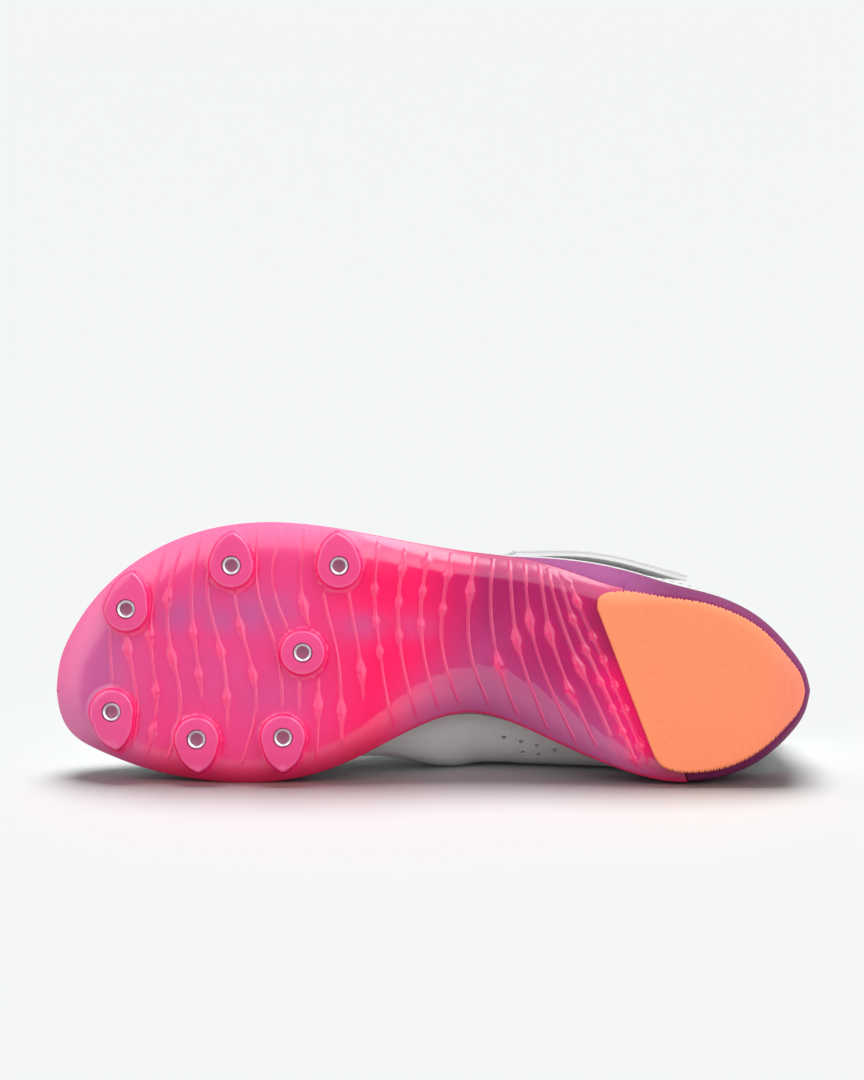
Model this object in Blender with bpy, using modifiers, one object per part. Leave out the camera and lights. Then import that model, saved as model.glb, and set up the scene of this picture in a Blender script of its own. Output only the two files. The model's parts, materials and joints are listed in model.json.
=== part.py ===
"""Long jump spike, left shoe, lying on its inner side with the sole facing -Y.

Every form is worked out in the shoe's own frame, in millimetres: x runs from the back of the heel to the
toe, y from the inner (medial) side to the outer (lateral) side, z up from the ground the shoe would stand on.
The finished shoe hangs on one empty, which lays it down on the floor.
"""

import math

import bmesh
import bpy
import numpy as np
from mathutils import Matrix, Vector

MM = 0.001

# Driving sizes, in millimetres
LENGTH = 283.0
PLATE_THICKNESS = 2.0
PAD_THICKNESS = 3.0
INSOLE_THICKNESS = 3.0
UPPER_WALL = 2.2
TONGUE_THICKNESS = 3.5
STRAP_THICKNESS = 2.6
LACE_DIAMETER = 2.4
SEAM_GAP = 0.3
CURVED_GAP = 0.6
FEATHER_GAP = 0.5
BED_DISH = 3.0
DISH_WIDTH = 22.0
MIDSOLE_INSET = 1.0

# The two outlines of the sole in plan, a row for each section, from toe to heel.
# edge is the rim of the plate and heel, feather the line where the upper meets the midsole.
TOE_TIP = {"edge": (LENGTH, 34.5), "feather": (281.6, 35.0)}
HEEL_TIP = {"edge": (1.8, 35.0), "feather": (0.6, 35.0)}
OUTLINE_COLUMNS = ("x", "edge_inner", "edge_outer", "feather_inner", "feather_outer")
OUTLINE = [
    (281.6, 26.0, 45.5, 28.5, 42.5),
    (277.5, 18.6, 55.4, 20.0, 53.6),
    (267.0, 12.0, 70.4, 13.4, 69.0),
    (250.0, 5.6, 84.5, 6.9, 83.2),
    (228.0, 1.2, 94.0, 2.5, 92.7),
    (205.0, 0.4, 97.2, 1.7, 95.8),
    (180.0, 5.6, 95.3, 6.6, 94.0),
    (155.0, 17.6, 90.8, 17.6, 89.8),
    (127.0, 26.4, 86.2, 25.4, 85.6),
    (105.0, 19.9, 83.2, 19.4, 84.6),
    (88.0, 12.2, 78.2, 13.2, 83.2),
    (72.0, 5.9, 73.2, 7.8, 80.3),
    (52.0, 1.2, 71.4, 3.8, 74.6),
    (34.0, 3.0, 67.4, 4.2, 69.8),
    (19.8, 9.6, 60.2, 9.4, 62.6),
    (8.6, 20.0, 48.6, 18.2, 51.8),
    (3.4, 27.4, 41.6, 25.6, 44.0),
]

# Heights along the shoe, a row for each section.
# underside is the plate's lower face at mid-width, roll how far its rim turns up, inner_roll and outer_roll
# over what width, rim the top of the midsole's edge and bulge how far its wall swells between edge and rim.
PROFILE_COLUMNS = ("x", "underside", "roll", "inner_roll", "outer_roll", "rim", "bulge")
PROFILE = [
    (0.0, 5.6, 1.4, 8.0, 8.0, 22.0, 1.5),
    (12.0, 3.9, 1.4, 8.0, 8.0, 21.4, 1.5),
    (30.0, 3.3, 1.4, 8.0, 8.0, 20.6, 1.5),
    (70.0, 3.3, 3.0, 10.0, 8.0, 19.8, 1.4),
    (95.0, 5.0, 6.0, 16.0, 9.0, 20.0, 0.9),
    (122.0, 7.4, 8.0, 21.0, 10.0, 21.0, 0.2),
    (150.0, 5.8, 6.6, 15.0, 11.0, 18.6, 0.0),
    (175.0, 3.9, 5.2, 10.0, 12.5, 15.6, 0.0),
    (195.0, 3.5, 4.7, 9.0, 13.5, 14.2, 0.0),
    (215.0, 3.9, 4.6, 9.0, 14.0, 14.2, 0.0),
    (240.0, 5.8, 4.6, 9.0, 13.5, 15.8, 0.0),
    (262.0, 8.6, 4.8, 9.0, 12.0, 18.6, 0.0),
    (283.0, 12.0, 5.0, 9.0, 9.0, 22.0, 0.0),
]
ROLL_POWER = 2.2

# The plate ends on a slanting line under the heel pad, given by its place on either rim.
PLATE_END_INNER_X = 47.5
PLATE_END_OUTER_X = 72.0

# Heel pad in plan, from its front corners round to the tip.
PAD_TIP = (2.8, 35.0)
PAD_OUTER = [(80.6, 65.5), (80.0, 69.6), (76.5, 71.6), (58.0, 70.6), (42.2, 68.4), (31.0, 65.0), (19.8, 58.8),
             (8.6, 47.2), (4.2, 40.8)]
PAD_INNER = [(59.6, 11.5), (57.0, 7.4), (51.5, 4.6), (43.0, 4.2), (33.0, 5.8), (19.8, 12.2), (8.6, 22.6),
             (4.2, 28.8)]

PLATE_ROWS = 30
PLATE_ACROSS = 11
PAD_ROWS = 20
INSOLE_ROWS = 26
BED_ACROSS = 9

# Spike pods: centre in plan, and the angle and length of the tail that runs out to the rim.
PODS = [
    (256.4, 64.8, 100.0, 14.0),
    (217.2, 81.2, 92.0, 12.5),
    (177.2, 81.2, 86.0, 12.5),
    (190.6, 48.8, 90.0, 0.0),
    (197.8, 17.0, 270.0, 13.0),
    (229.9, 16.2, 266.0, 12.5),
    (261.7, 26.3, 262.0, 14.5),
]
POD_RADIUS = 8.3
POD_HEIGHT = 3.5
POD_DRAFT = 1.2
TAIL_SPREAD = 1.15
TAIL_POWER = 1.35
POD_SIDES = 24
INSERT_RADIUS = 3.4
INSERT_BORE = 2.4
INSERT_LENGTH = 4.3
INSERT_RECESS = 0.2
INSERT_CHAMFER = 0.5
INSERT_STEPS = 12

# The upper: a row for each column of its wall, round the shoe from the toe by the outer side.
# base_x is where the column stands on the feather line, top its end on the topline, swell and rise place the
# wall's lower handle out from and above its base, shoulder and drop its upper handle from the topline.
UPPER_COLUMNS = ("side", "base_x", "top_x", "top_y", "top_z", "swell", "rise", "shoulder", "drop")
INNER, TIP, OUTER = -1, 0, 1
UPPER = [
    (TIP, 281.6, 198.0, 45.0, 49.0, 3.0, 15.0, 46.0, 1.0),
    (OUTER, 262.0, 196.5, 50.5, 49.2, 3.5, 15.0, 36.0, 2.0),
    (OUTER, 235.0, 189.0, 53.0, 51.0, 3.0, 16.0, 26.0, 4.0),
    (OUTER, 205.0, 175.0, 54.0, 55.5, 3.0, 17.0, 25.0, 5.0),
    (OUTER, 168.0, 154.0, 57.0, 63.0, 3.5, 18.0, 20.0, 8.0),
    (OUTER, 131.0, 124.0, 60.0, 76.0, 4.0, 22.0, 16.0, 16.0),
    (OUTER, 102.0, 101.0, 67.0, 65.0, 3.5, 18.0, 11.0, 16.0),
    (OUTER, 72.0, 72.0, 70.0, 57.0, 3.0, 15.0, 7.0, 14.0),
    (OUTER, 40.0, 40.0, 64.0, 61.0, 2.5, 16.0, 5.0, 16.0),
    (OUTER, 14.0, 14.5, 53.0, 69.0, 2.5, 18.0, 2.0, 18.0),
    (TIP, 0.6, 9.0, 36.0, 73.0, 3.0, 18.0, 1.5, 22.0),
    (INNER, 14.0, 14.5, 20.5, 69.5, 1.0, 18.0, 1.5, 18.0),
    (INNER, 40.0, 40.0, 14.5, 63.0, -2.0, 14.0, 4.0, 14.0),
    (INNER, 72.0, 72.0, 14.0, 60.0, 6.5, 12.0, 6.0, 14.0),
    (INNER, 102.0, 101.0, 18.0, 68.0, 21.5, 12.0, 11.0, 24.0),
    (INNER, 131.0, 124.0, 27.0, 77.0, 34.0, 12.0, 17.0, 34.0),
    (INNER, 150.0, 139.0, 30.8, 70.6, 29.5, 13.0, 22.0, 26.0),
    (INNER, 168.0, 154.0, 34.5, 64.5, 5.5, 16.0, 28.0, 18.0),
    (INNER, 205.0, 175.0, 38.0, 56.5, -1.0, 14.0, 28.0, 8.0),
    (INNER, 235.0, 189.0, 39.0, 51.8, -0.5, 14.0, 28.0, 6.0),
    (INNER, 262.0, 196.5, 41.0, 49.4, 3.0, 15.0, 36.0, 2.0),
]
UPPER_ROUND = 72
UPPER_RISE = 10
TIP_CROWDING = 0.045

# Tongue, lace and strap lie on the upper: base_x names a column of its wall, reach a share of its height.
TONGUE_FRONT_X = 232.0
TONGUE_TOP_X = 133.0
TONGUE_TUCK = 0.84
TONGUE_TOP_TUCK = 0.995
TONGUE_STAND = (-9.0, 0.0, 19.0)
TONGUE_CROWN = 2.5
LACE_ROWS_X = (226.0, 206.0, 186.0, 166.0, 146.0)
LACE_REACH = 0.93
LACE_CROWN = 5.0
STRAP_END_FRONT_X, STRAP_END_REAR_X = 112.0, 47.0
STRAP_TOP_FRONT_X, STRAP_TOP_REAR_X = 176.0, 135.0
STRAP_END_REACH = 0.30
STRAP_ANCHOR_REACH = 0.76
STRAP_LIFT = LACE_DIAMETER + 5 * CURVED_GAP
STRAP_RISE_FROM, STRAP_RISE_OVER = 0.74, 0.14
STRAP_ACROSS = 9
STRAP_LEAN = 1.35
STRAP_CROWN = 6.0

PINK = (0.93, 0.08, 0.27)
PURPLE = (0.22, 0.05, 0.17)
ORANGE = (0.95, 0.30, 0.12)
WHITE = (0.80, 0.80, 0.79)
GREY = (0.52, 0.53, 0.53)
STEEL = (0.72, 0.72, 0.73)


def column(table, columns, name):
    """One named column of a table, as an array."""
    return np.array([row[columns.index(name)] for row in table], float)


def cubic(knots, values, at, period=None):
    """A natural or, with a period, closed cubic curve through values at knots."""
    knots, values = np.asarray(knots, float), np.asarray(values, float)
    if period:
        knots, values = np.append(knots, knots[0] + period), np.append(values, values[0])
        at = (np.asarray(at, float) - knots[0]) % period + knots[0]
    count = len(knots)
    step, rise = np.diff(knots), np.diff(values)
    system, right = np.zeros((count, count)), np.zeros(count)
    for i in range(1, count - 1):
        system[i, i - 1:i + 2] = step[i - 1], 2 * (step[i - 1] + step[i]), step[i]
        right[i] = 6 * (rise[i] / step[i] - rise[i - 1] / step[i - 1])
    if period:
        system[0, [0, 1, -2]] = 2 * (step[0] + step[-1]), step[0], step[-1]
        right[0] = 6 * (rise[0] / step[0] - rise[-1] / step[-1])
        system[-1, [0, -1]] = 1, -1
    else:
        system[0, 0] = system[-1, -1] = 1
    bend = np.linalg.solve(system, right)
    at = np.clip(np.asarray(at, float), knots[0], knots[-1])
    i = np.clip(np.searchsorted(knots, at) - 1, 0, count - 2)
    before, after = at - knots[i], knots[i + 1] - at
    return ((bend[i] * after**3 + bend[i + 1] * before**3) / (6 * step[i])
            + (values[i] / step[i] - bend[i] * step[i] / 6) * after
            + (values[i + 1] / step[i] - bend[i + 1] * step[i] / 6) * before)


def profile(name, x):
    return cubic(column(PROFILE, PROFILE_COLUMNS, "x"), column(PROFILE, PROFILE_COLUMNS, name), x)


def path(points, at):
    """Places at shares of the length of a smooth plan curve through points."""
    points = np.asarray(points, float)
    chord = np.append(0, np.cumsum(np.hypot(*np.diff(points, axis=0).T)))
    fine = np.linspace(0, chord[-1], 600)
    curve = np.stack([cubic(chord, points[:, k], fine) for k in (0, 1)], axis=1)
    length = np.append(0, np.cumsum(np.hypot(*np.diff(curve, axis=0).T)))
    return np.stack([np.interp(np.asarray(at) * length[-1], length, curve[:, k]) for k in (0, 1)], axis=-1)


def branch(line, side):
    """The points of one side of an outline, from the toe's tip to the heel's."""
    sides = zip(column(OUTLINE, OUTLINE_COLUMNS, "x"), column(OUTLINE, OUTLINE_COLUMNS, f"{line}_{side}"))
    return [TOE_TIP[line], *sides, HEEL_TIP[line]]


def share_at(points, x):
    """The share of a branch's length at which it passes x."""
    shares = np.linspace(0, 1, 2001)
    return float(np.interp(-x, -path(points, shares)[:, 0], shares))


def outline(line, count=240):
    """The closed outline, from the toe by the outer side and the heel."""
    at = np.linspace(0, 1, count)
    return np.concatenate([path(branch(line, "outer"), at), path(branch(line, "inner"), at)[::-1]])


EDGE, FEATHER = outline("edge"), outline("feather")


def line_distance(line, x, y):
    """How far places lie from a closed line, and whether its first half is the nearer one."""
    places = np.stack([x, y], axis=-1)[..., None, :]
    nearest = np.linalg.norm(places - line, axis=-1).argmin(-1)
    apart = np.full(np.shape(x), np.inf)
    for back in (1, 0):
        begin, end = line[(nearest - back) % len(line)], line[(nearest - back + 1) % len(line)]
        way = end - begin
        share = ((places[..., 0, :] - begin) * way).sum(-1) / np.maximum((way**2).sum(-1), 1e-9)
        foot = begin + way * np.clip(share, 0, 1)[..., None]
        apart = np.minimum(apart, np.linalg.norm(places[..., 0, :] - foot, axis=-1))
    return apart, nearest < len(line) // 2


def underside(x, y):
    """Height of the plate's lower face, whose rim turns up."""
    x, y = np.asarray(x, float), np.asarray(y, float)
    apart, outer = line_distance(EDGE, x, y)
    width = np.where(outer, profile("outer_roll", x), profile("inner_roll", x))
    turned = np.clip(1 - apart / width, 0, 1)
    return profile("underside", x) + profile("roll", x) * turned**ROLL_POWER


def bed(x, y):
    """Height of the midsole's top, dished under the foot."""
    x, y = np.asarray(x, float), np.asarray(y, float)
    apart = line_distance(FEATHER, x, y)[0]
    inside = np.clip(1 - (apart - UPPER_WALL - CURVED_GAP) / DISH_WIDTH, 0, 1)
    return profile("rim", x) - BED_DISH * (1 - inside**2)


def eased(count, start=1.0, end=1.0):
    """Shares from 0 to 1, closer together at an end whose weight is over 1."""
    t = np.linspace(0, 1, count)
    return t**start * (1 - t) + (1 - (1 - t)**end) * t


def mesh_object(name, bm, paint, smooth_angle=40):
    """Turns a bmesh in millimetres into a named object of the shoe."""
    bmesh.ops.scale(bm, vec=(MM, MM, MM), verts=bm.verts)
    mesh = bpy.data.meshes.new(name)
    bm.to_mesh(mesh)
    bm.free()
    mesh.shade_smooth()
    mesh.set_sharp_from_angle(angle=math.radians(smooth_angle))
    mesh.materials.append(paint)
    obj = bpy.data.objects.new(name, mesh)
    parts.objects.link(obj)
    obj.parent = shoe
    return obj


def draped_grid(points, closed=False):
    """A bmesh grid with its corners moved to an array of points, its second way round closed or not."""
    rows, across = points.shape[:2]
    if closed:
        points = np.concatenate([points, points[:, :1]], axis=1)
        across += 1
    bm = bmesh.new()
    bmesh.ops.create_grid(bm, x_segments=rows - 1, y_segments=across - 1, size=1)
    bm.verts.ensure_lookup_table()
    for vert in bm.verts:
        row = round((vert.co.x + 1) / 2 * (rows - 1))
        place = round((vert.co.y + 1) / 2 * (across - 1))
        vert.co = points[row, place]
    bmesh.ops.remove_doubles(bm, verts=bm.verts, dist=0.005)
    return bm


def face_outwards(bm):
    bmesh.ops.recalc_face_normals(bm, faces=bm.faces)
    if bm.calc_volume(signed=True) < 0:
        bmesh.ops.reverse_faces(bm, faces=bm.faces)


def lofted(name, lower, upper, paint, wall=()):
    """A closed solid between a lower and an upper grid of points, with loops of a wall between their rims."""
    inner_wall = [lower[:, 0] * (1 - t) + upper[:, 0] * t + bulge[:, 0] for t, bulge in wall]
    outer_wall = [lower[:, -1] * (1 - t) + upper[:, -1] * t + bulge[:, 1] for t, bulge in wall]
    loops = [*lower.transpose(1, 0, 2), *outer_wall, *upper.transpose(1, 0, 2)[::-1], *inner_wall[::-1]]
    bm = draped_grid(np.stack(loops, axis=1), closed=True)
    open_edges = [edge for edge in bm.edges if edge.is_boundary]
    if open_edges:
        bmesh.ops.holes_fill(bm, edges=open_edges)
    bmesh.ops.dissolve_degenerate(bm, edges=bm.edges, dist=0.005)
    bmesh.ops.triangulate(bm, faces=bm.faces, quad_method="SHORT_EDGE")
    face_outwards(bm)
    return mesh_object(name, bm, paint)


def ruled(inner, outer, along, across):
    """Plan points on straight lines from an inner to an outer branch."""
    start, end = path(inner, along)[:, None], path(outer, along)[:, None]
    return start * (1 - across)[None, :, None] + end * across[None, :, None]


def raised(plan, height):
    return np.concatenate([plan, np.asarray(height)[..., None]], axis=-1)


def material(name, colour, roughness, metallic=0.0):
    paint = bpy.data.materials.new(name)
    paint.use_nodes = True
    shader = paint.node_tree.nodes["Principled BSDF"]
    shader.inputs["Base Color"].default_value = (*colour, 1)
    shader.inputs["Roughness"].default_value = roughness
    shader.inputs["Metallic"].default_value = metallic
    return paint


def boolean(obj, other, operation):
    modifier = obj.modifiers.new(operation.lower(), "BOOLEAN")
    modifier.operation = operation
    modifier.object = other


def as_helper(obj):
    """Keeps a cutter or a joined piece out of the finished shoe."""
    parts.objects.unlink(obj)
    helpers.objects.link(obj)
    obj.hide_render = True
    obj.display_type = "WIRE"
    return obj


# Sole

def plate_grid():
    """Points of the plate's lower face, in slanting rows from the toe to its end under the heel pad."""
    sides = []
    for side, x in (("inner", PLATE_END_INNER_X), ("outer", PLATE_END_OUTER_X)):
        points = branch("edge", side)
        sides.append(path(points, np.linspace(0, share_at(points, x), 40)))
    plan = ruled(*sides, eased(PLATE_ROWS, 2.0, 1.0), eased(PLATE_ACROSS, 1.6, 1.6))
    return raised(plan, underside(plan[..., 0], plan[..., 1]))


def build_plate(paint):
    low = plate_grid()
    plate = lofted("outsole_plate", low, low + [0, 0, PLATE_THICKNESS], paint)
    for number, pod in enumerate(PODS, 1):
        boolean(plate, build_pod(number, pod, paint), "UNION")
    for number, pod in enumerate(PODS, 1):
        boolean(plate, build_insert_hole(number, pod, paint), "DIFFERENCE")
    return plate


def pod_frame(pod):
    """Where a pod's face sits, and the turn that squares it to the sole along the shoe."""
    x, y = pod[:2]
    lean = math.atan2(float(profile("underside", x + 3) - profile("underside", x - 3)), 6.0)
    turn = Matrix.Rotation(-lean, 4, "Y")
    centre = Vector((x, y, float(profile("underside", x))))
    return Matrix.Translation(centre) @ turn @ Matrix.Translation((0, 0, -POD_HEIGHT))


def teardrop(radius, tail_angle, tail_length, count):
    """Plan points of a circle drawn out to a blunt tail."""
    angle = np.linspace(0, 2 * math.pi, count, endpoint=False)
    away = np.abs((angle - math.radians(tail_angle) + math.pi) % (2 * math.pi) - math.pi)
    tail = (max(tail_length, radius) - radius) * np.clip(1 - away / TAIL_SPREAD, 0, 1)**TAIL_POWER
    return (radius + tail)[:, None] * np.stack([np.cos(angle), np.sin(angle)], axis=1)


def build_pod(number, pod, paint):
    """A solid from the pod's flat face up to the middle of the plate."""
    rim = teardrop(POD_RADIUS, *pod[2:], POD_SIDES)
    flared = rim * (1 + POD_DRAFT / np.linalg.norm(rim, axis=1, keepdims=True))
    frame = np.array(pod_frame(pod))
    face = np.concatenate([rim, np.zeros((POD_SIDES, 1))], axis=1) @ frame[:3, :3].T + frame[:3, 3]
    loops = [np.repeat(face.mean(0)[None], POD_SIDES, 0), face]
    for share in (1.0, 0.65, 0.3, 0.0):
        plan = np.array(pod[:2]) + flared * share
        loops.append(raised(plan, underside(plan[:, 0], plan[:, 1]) + PLATE_THICKNESS / 2))
    bm = draped_grid(np.stack(loops), closed=True)
    bmesh.ops.dissolve_degenerate(bm, edges=bm.edges, dist=0.005)
    face_outwards(bm)
    return as_helper(mesh_object(f"pod_{number}_form", bm, paint))


def build_insert_hole(number, pod, paint):
    depth = INSERT_RECESS + INSERT_LENGTH + SEAM_GAP
    overshoot = 2.0
    bm = bmesh.new()
    bmesh.ops.create_cone(bm, cap_ends=True, segments=INSERT_STEPS, radius1=INSERT_RADIUS + SEAM_GAP,
                          radius2=INSERT_RADIUS + SEAM_GAP, depth=depth + overshoot)
    bmesh.ops.translate(bm, vec=(0, 0, (depth - overshoot) / 2), verts=bm.verts)
    bmesh.ops.transform(bm, matrix=pod_frame(pod), verts=bm.verts)
    return as_helper(mesh_object(f"insert_{number}_hole", bm, paint))


def build_insert(number, pod, paint):
    """A steel sleeve for a screw-in spike, turned about the pod's axis."""
    top, length = INSERT_RECESS, INSERT_LENGTH
    profile_points = [
        (INSERT_BORE + INSERT_CHAMFER, top),
        (INSERT_RADIUS, top),
        (INSERT_RADIUS, top + length),
        (INSERT_BORE, top + length),
        (INSERT_BORE, top + INSERT_CHAMFER),
    ]
    bm = bmesh.new()
    verts = [bm.verts.new((radius, 0, z)) for radius, z in profile_points]
    edges = [bm.edges.new((a, b)) for a, b in zip(verts, verts[1:] + verts[:1])]
    bmesh.ops.spin(bm, geom=verts + edges, cent=(0, 0, 0), axis=(0, 0, 1), angle=2 * math.pi,
                   steps=INSERT_STEPS, use_merge=True)
    bmesh.ops.remove_doubles(bm, verts=bm.verts, dist=0.005)
    bmesh.ops.transform(bm, matrix=pod_frame(pod), verts=bm.verts)
    face_outwards(bm)
    return mesh_object(f"spike_insert_{number}", bm, paint)


def build_pad(paint):
    """The rubber heel tread, laid under the plate's end and the midsole."""
    across = eased(BED_ACROSS, 1.3, 1.3)
    plan = ruled([*PAD_INNER, PAD_TIP], [*PAD_OUTER, PAD_TIP], eased(PAD_ROWS, 1.4, 1.6), across)
    top = underside(plan[..., 0], plan[..., 1]) - FEATHER_GAP
    tread = np.maximum(top - PAD_THICKNESS, 0)
    return lofted("heel_pad", raised(plan, tread), raised(plan, top), paint)


def drawn_in(points, side, inset):
    """A branch moved inwards, square to itself and straight back from its two tips."""
    line = path(points, np.linspace(0, 1, 80))
    way = np.gradient(line, axis=0)
    way[0] = way[-1] = (0, 1) if side == "outer" else (0, -1)
    way[-1] *= -1
    turn = 1 if side == "outer" else -1
    inwards = turn * np.stack([-way[:, 1], way[:, 0]], axis=1) / np.linalg.norm(way, axis=1, keepdims=True)
    return line + inset * inwards


def build_midsole(paint):
    """Foam from toe to heel, rebated over the plate and full depth behind it."""
    front = plate_grid() + [0, 0, PLATE_THICKNESS + CURVED_GAP]
    step = np.linalg.norm(front[:, 1] - front[:, 0], axis=1, keepdims=True)
    draw = np.where(step > 0.01, MIDSOLE_INSET / np.maximum(step, MIDSOLE_INSET), 0)
    front[:, 0] += (front[:, 1] - front[:, 0]) * draw
    front[:, -1] += (front[:, -2] - front[:, -1]) * draw
    front[0] += (front[1, PLATE_ACROSS // 2] - front[0]) * 0.5
    ends = {"inner": PLATE_END_INNER_X, "outer": PLATE_END_OUTER_X}
    across, top_across = eased(PLATE_ACROSS, 1.6, 1.6), eased(8, 1.3, 1.3)
    rear_along = eased(12, 1.0, 1.6)
    base, feather = [], []
    for side, x in ends.items():
        heel_edge = drawn_in(branch("edge", side), side, MIDSOLE_INSET)
        end = share_at(heel_edge, x - 2 * CURVED_GAP)
        behind = end + rear_along * (1 - end)
        base.append(path(heel_edge, behind)[:, None])
        whole = np.append(eased(PLATE_ROWS, 2.0, 1.0) * share_at(branch("edge", side), x), behind)
        feather.append(path(branch("feather", side), whole)[:, None])
    rear = base[0] * (1 - across)[None, :, None] + base[1] * across[None, :, None]
    rear = raised(rear, underside(rear[..., 0], rear[..., 1]))
    top = feather[0] * (1 - top_across)[None, :, None] + feather[1] * top_across[None, :, None]
    top = raised(top, bed(top[..., 0], top[..., 1]))
    out = wall_directions(top) * profile("bulge", top[:, [0, -1], 0])[..., None]
    return lofted("midsole", np.concatenate([front, rear]), top, paint, wall=[(0.3, out), (0.7, out * 0.65)])


def wall_directions(rows):
    """For each row, the level ways out of its inner and outer end."""
    along = np.gradient(rows[:, [0, -1], :2], axis=0)
    out = np.stack([along[..., 1], -along[..., 0]], axis=-1)
    out /= np.maximum(np.linalg.norm(out, axis=-1, keepdims=True), 1e-9)
    out[:, 0] *= -1
    out[0], out[-1] = (1, 0), (-1, 0)
    return np.concatenate([out, np.zeros((*out.shape[:2], 1))], axis=-1)


def build_insole(paint):
    across = eased(BED_ACROSS, 1.3, 1.3)
    inset = UPPER_WALL + 2 * CURVED_GAP
    sides = [drawn_in(branch("feather", side), side, inset) for side in ("inner", "outer")]
    plan = ruled(*sides, eased(INSOLE_ROWS, 1.6, 1.6), across)
    low = bed(plan[..., 0], plan[..., 1]) + CURVED_GAP
    return lofted("insole", raised(plan, low), raised(plan, low + INSOLE_THICKNESS), paint)


# Upper

FEATHER_OUTER, FEATHER_INNER = branch("feather", "outer"), branch("feather", "inner")


def round_share(side, x):
    """Where a column stands on the closed feather line, from 0 at the toe to 1 at the toe again."""
    if side == OUTER:
        return share_at(FEATHER_OUTER, x) / 2
    if side == INNER:
        return 1 - share_at(FEATHER_INNER, x) / 2
    return 0.0 if x > LENGTH / 2 else 0.5


UPPER_KNOTS = np.array([round_share(int(row[0]), row[1]) for row in UPPER])


def upper_column(name, around):
    return cubic(UPPER_KNOTS, column(UPPER, UPPER_COLUMNS, name), around, period=1.0)


def feather_point(around):
    around = np.asarray(around, float) % 1
    outer = path(FEATHER_OUTER, np.clip(around * 2, 0, 1))
    inner = path(FEATHER_INNER, np.clip((1 - around) * 2, 0, 1))
    return np.where((around <= 0.5)[..., None], outer, inner)


def upper_point(around, reach):
    """A point of the upper's outer face: around the shoe, and from the feather line (0) to the topline (1)."""
    around, reach = np.broadcast_arrays(np.asarray(around, float), np.asarray(reach, float))
    foot = feather_point(around)
    ahead, behind = feather_point(around + 0.004), feather_point(around - 0.004)
    way = ahead - behind
    out = np.stack([way[..., 1], -way[..., 0]], axis=-1)
    out /= np.linalg.norm(out, axis=-1, keepdims=True)
    out = np.concatenate([out, np.zeros((*out.shape[:-1], 1))], axis=-1)
    up = np.array([0.0, 0.0, 1.0])
    base = raised(foot - 0.3 * out[..., :2], profile("rim", foot[..., 0]) + FEATHER_GAP)
    top = np.stack([upper_column(name, around) for name in ("top_x", "top_y", "top_z")], axis=-1)
    swell, rise, shoulder, drop = (upper_column(name, around)[..., None]
                                   for name in ("swell", "rise", "shoulder", "drop"))
    low_handle = base + out * swell + up * rise
    high_handle = top + out * shoulder - up * drop
    t = reach[..., None]
    return base * (1 - t)**3 + 3 * low_handle * t * (1 - t)**2 + 3 * high_handle * t**2 * (1 - t) + top * t**3


def upper_normal(around, reach):
    small = 0.004
    along = upper_point(np.asarray(around) + small, reach) - upper_point(np.asarray(around) - small, reach)
    low, high = np.clip(np.asarray(reach) - 0.02, 0, 1), np.clip(np.asarray(reach) + 0.02, 0, 1)
    rising = upper_point(around, high) - upper_point(around, low)
    normal = np.cross(along, rising)
    return normal / np.linalg.norm(normal, axis=-1, keepdims=True)


def build_upper(paint):
    around = np.linspace(0, 1, UPPER_ROUND, endpoint=False)[None, :]
    around = around - TIP_CROWDING * np.sin(4 * math.pi * around)
    reach = eased(UPPER_RISE + 1, 1.2, 1.2)[:, None]
    bm = draped_grid(upper_point(around, reach), closed=True)
    bmesh.ops.recalc_face_normals(bm, faces=bm.faces)
    widest = max(bm.faces, key=lambda face: face.calc_center_median().y)
    if widest.normal.y < 0:
        bmesh.ops.reverse_faces(bm, faces=bm.faces)
    upper = mesh_object("upper", bm, paint)
    wall = upper.modifiers.new("wall", "SOLIDIFY")
    wall.thickness = UPPER_WALL * MM
    wall.offset = -1
    return upper


def throat_row(outer_around, inner_around, lift, tuck, crown, arch=5):
    """Points across the throat: up the outer eyestay from tuck, over the gap and down the inner one."""
    reach = np.linspace(tuck, 1.0, 4)
    outer = upper_point(outer_around, reach) + lift * upper_normal(outer_around, reach)
    inner = upper_point(inner_around, reach) + lift * upper_normal(inner_around, reach)
    t = np.linspace(0, 1, arch + 2)[1:-1, None]
    span = outer[-1] * (1 - t) + inner[-1] * t
    way = inner[-1] - outer[-1]
    along = upper_point(outer_around - 0.01, 1.0) - upper_point(outer_around + 0.01, 1.0)
    over = np.cross(along, way)
    over /= np.linalg.norm(over)
    over *= 1 if over[2] > 0 else -1
    return np.concatenate([outer, span + over * crown * 4 * t * (1 - t), inner[::-1]])


def sheet_solid(name, rows, thickness, paint):
    """A strip of even thickness on the outer side of a grid of points."""
    bm = draped_grid(rows)
    bmesh.ops.recalc_face_normals(bm, faces=bm.faces)
    if max(bm.faces, key=lambda face: face.calc_center_median().z).normal.z < 0:
        bmesh.ops.reverse_faces(bm, faces=bm.faces)
    strip = mesh_object(name, bm, paint)
    wall = strip.modifiers.new("thickness", "SOLIDIFY")
    wall.thickness = thickness * MM
    wall.offset = 1
    return strip


def build_tongue(paint):
    """A padded strip under the eyestays that stands up past the throat."""
    under = -(UPPER_WALL + 2.5 * CURVED_GAP + TONGUE_THICKNESS)
    rows = []
    places = np.linspace(TONGUE_FRONT_X, TONGUE_TOP_X, 11)
    for x, tuck in zip(places, np.linspace(TONGUE_TUCK, TONGUE_TOP_TUCK, 11)):
        rows.append(throat_row(round_share(OUTER, x), round_share(INNER, x), under, tuck, TONGUE_CROWN, arch=3))
    top = rows[-1]
    for share in (0.35, 0.7, 1.0):
        rows.append(top + np.array(TONGUE_STAND) * share)
    return sheet_solid("tongue", np.stack(rows), TONGUE_THICKNESS, paint)


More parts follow.
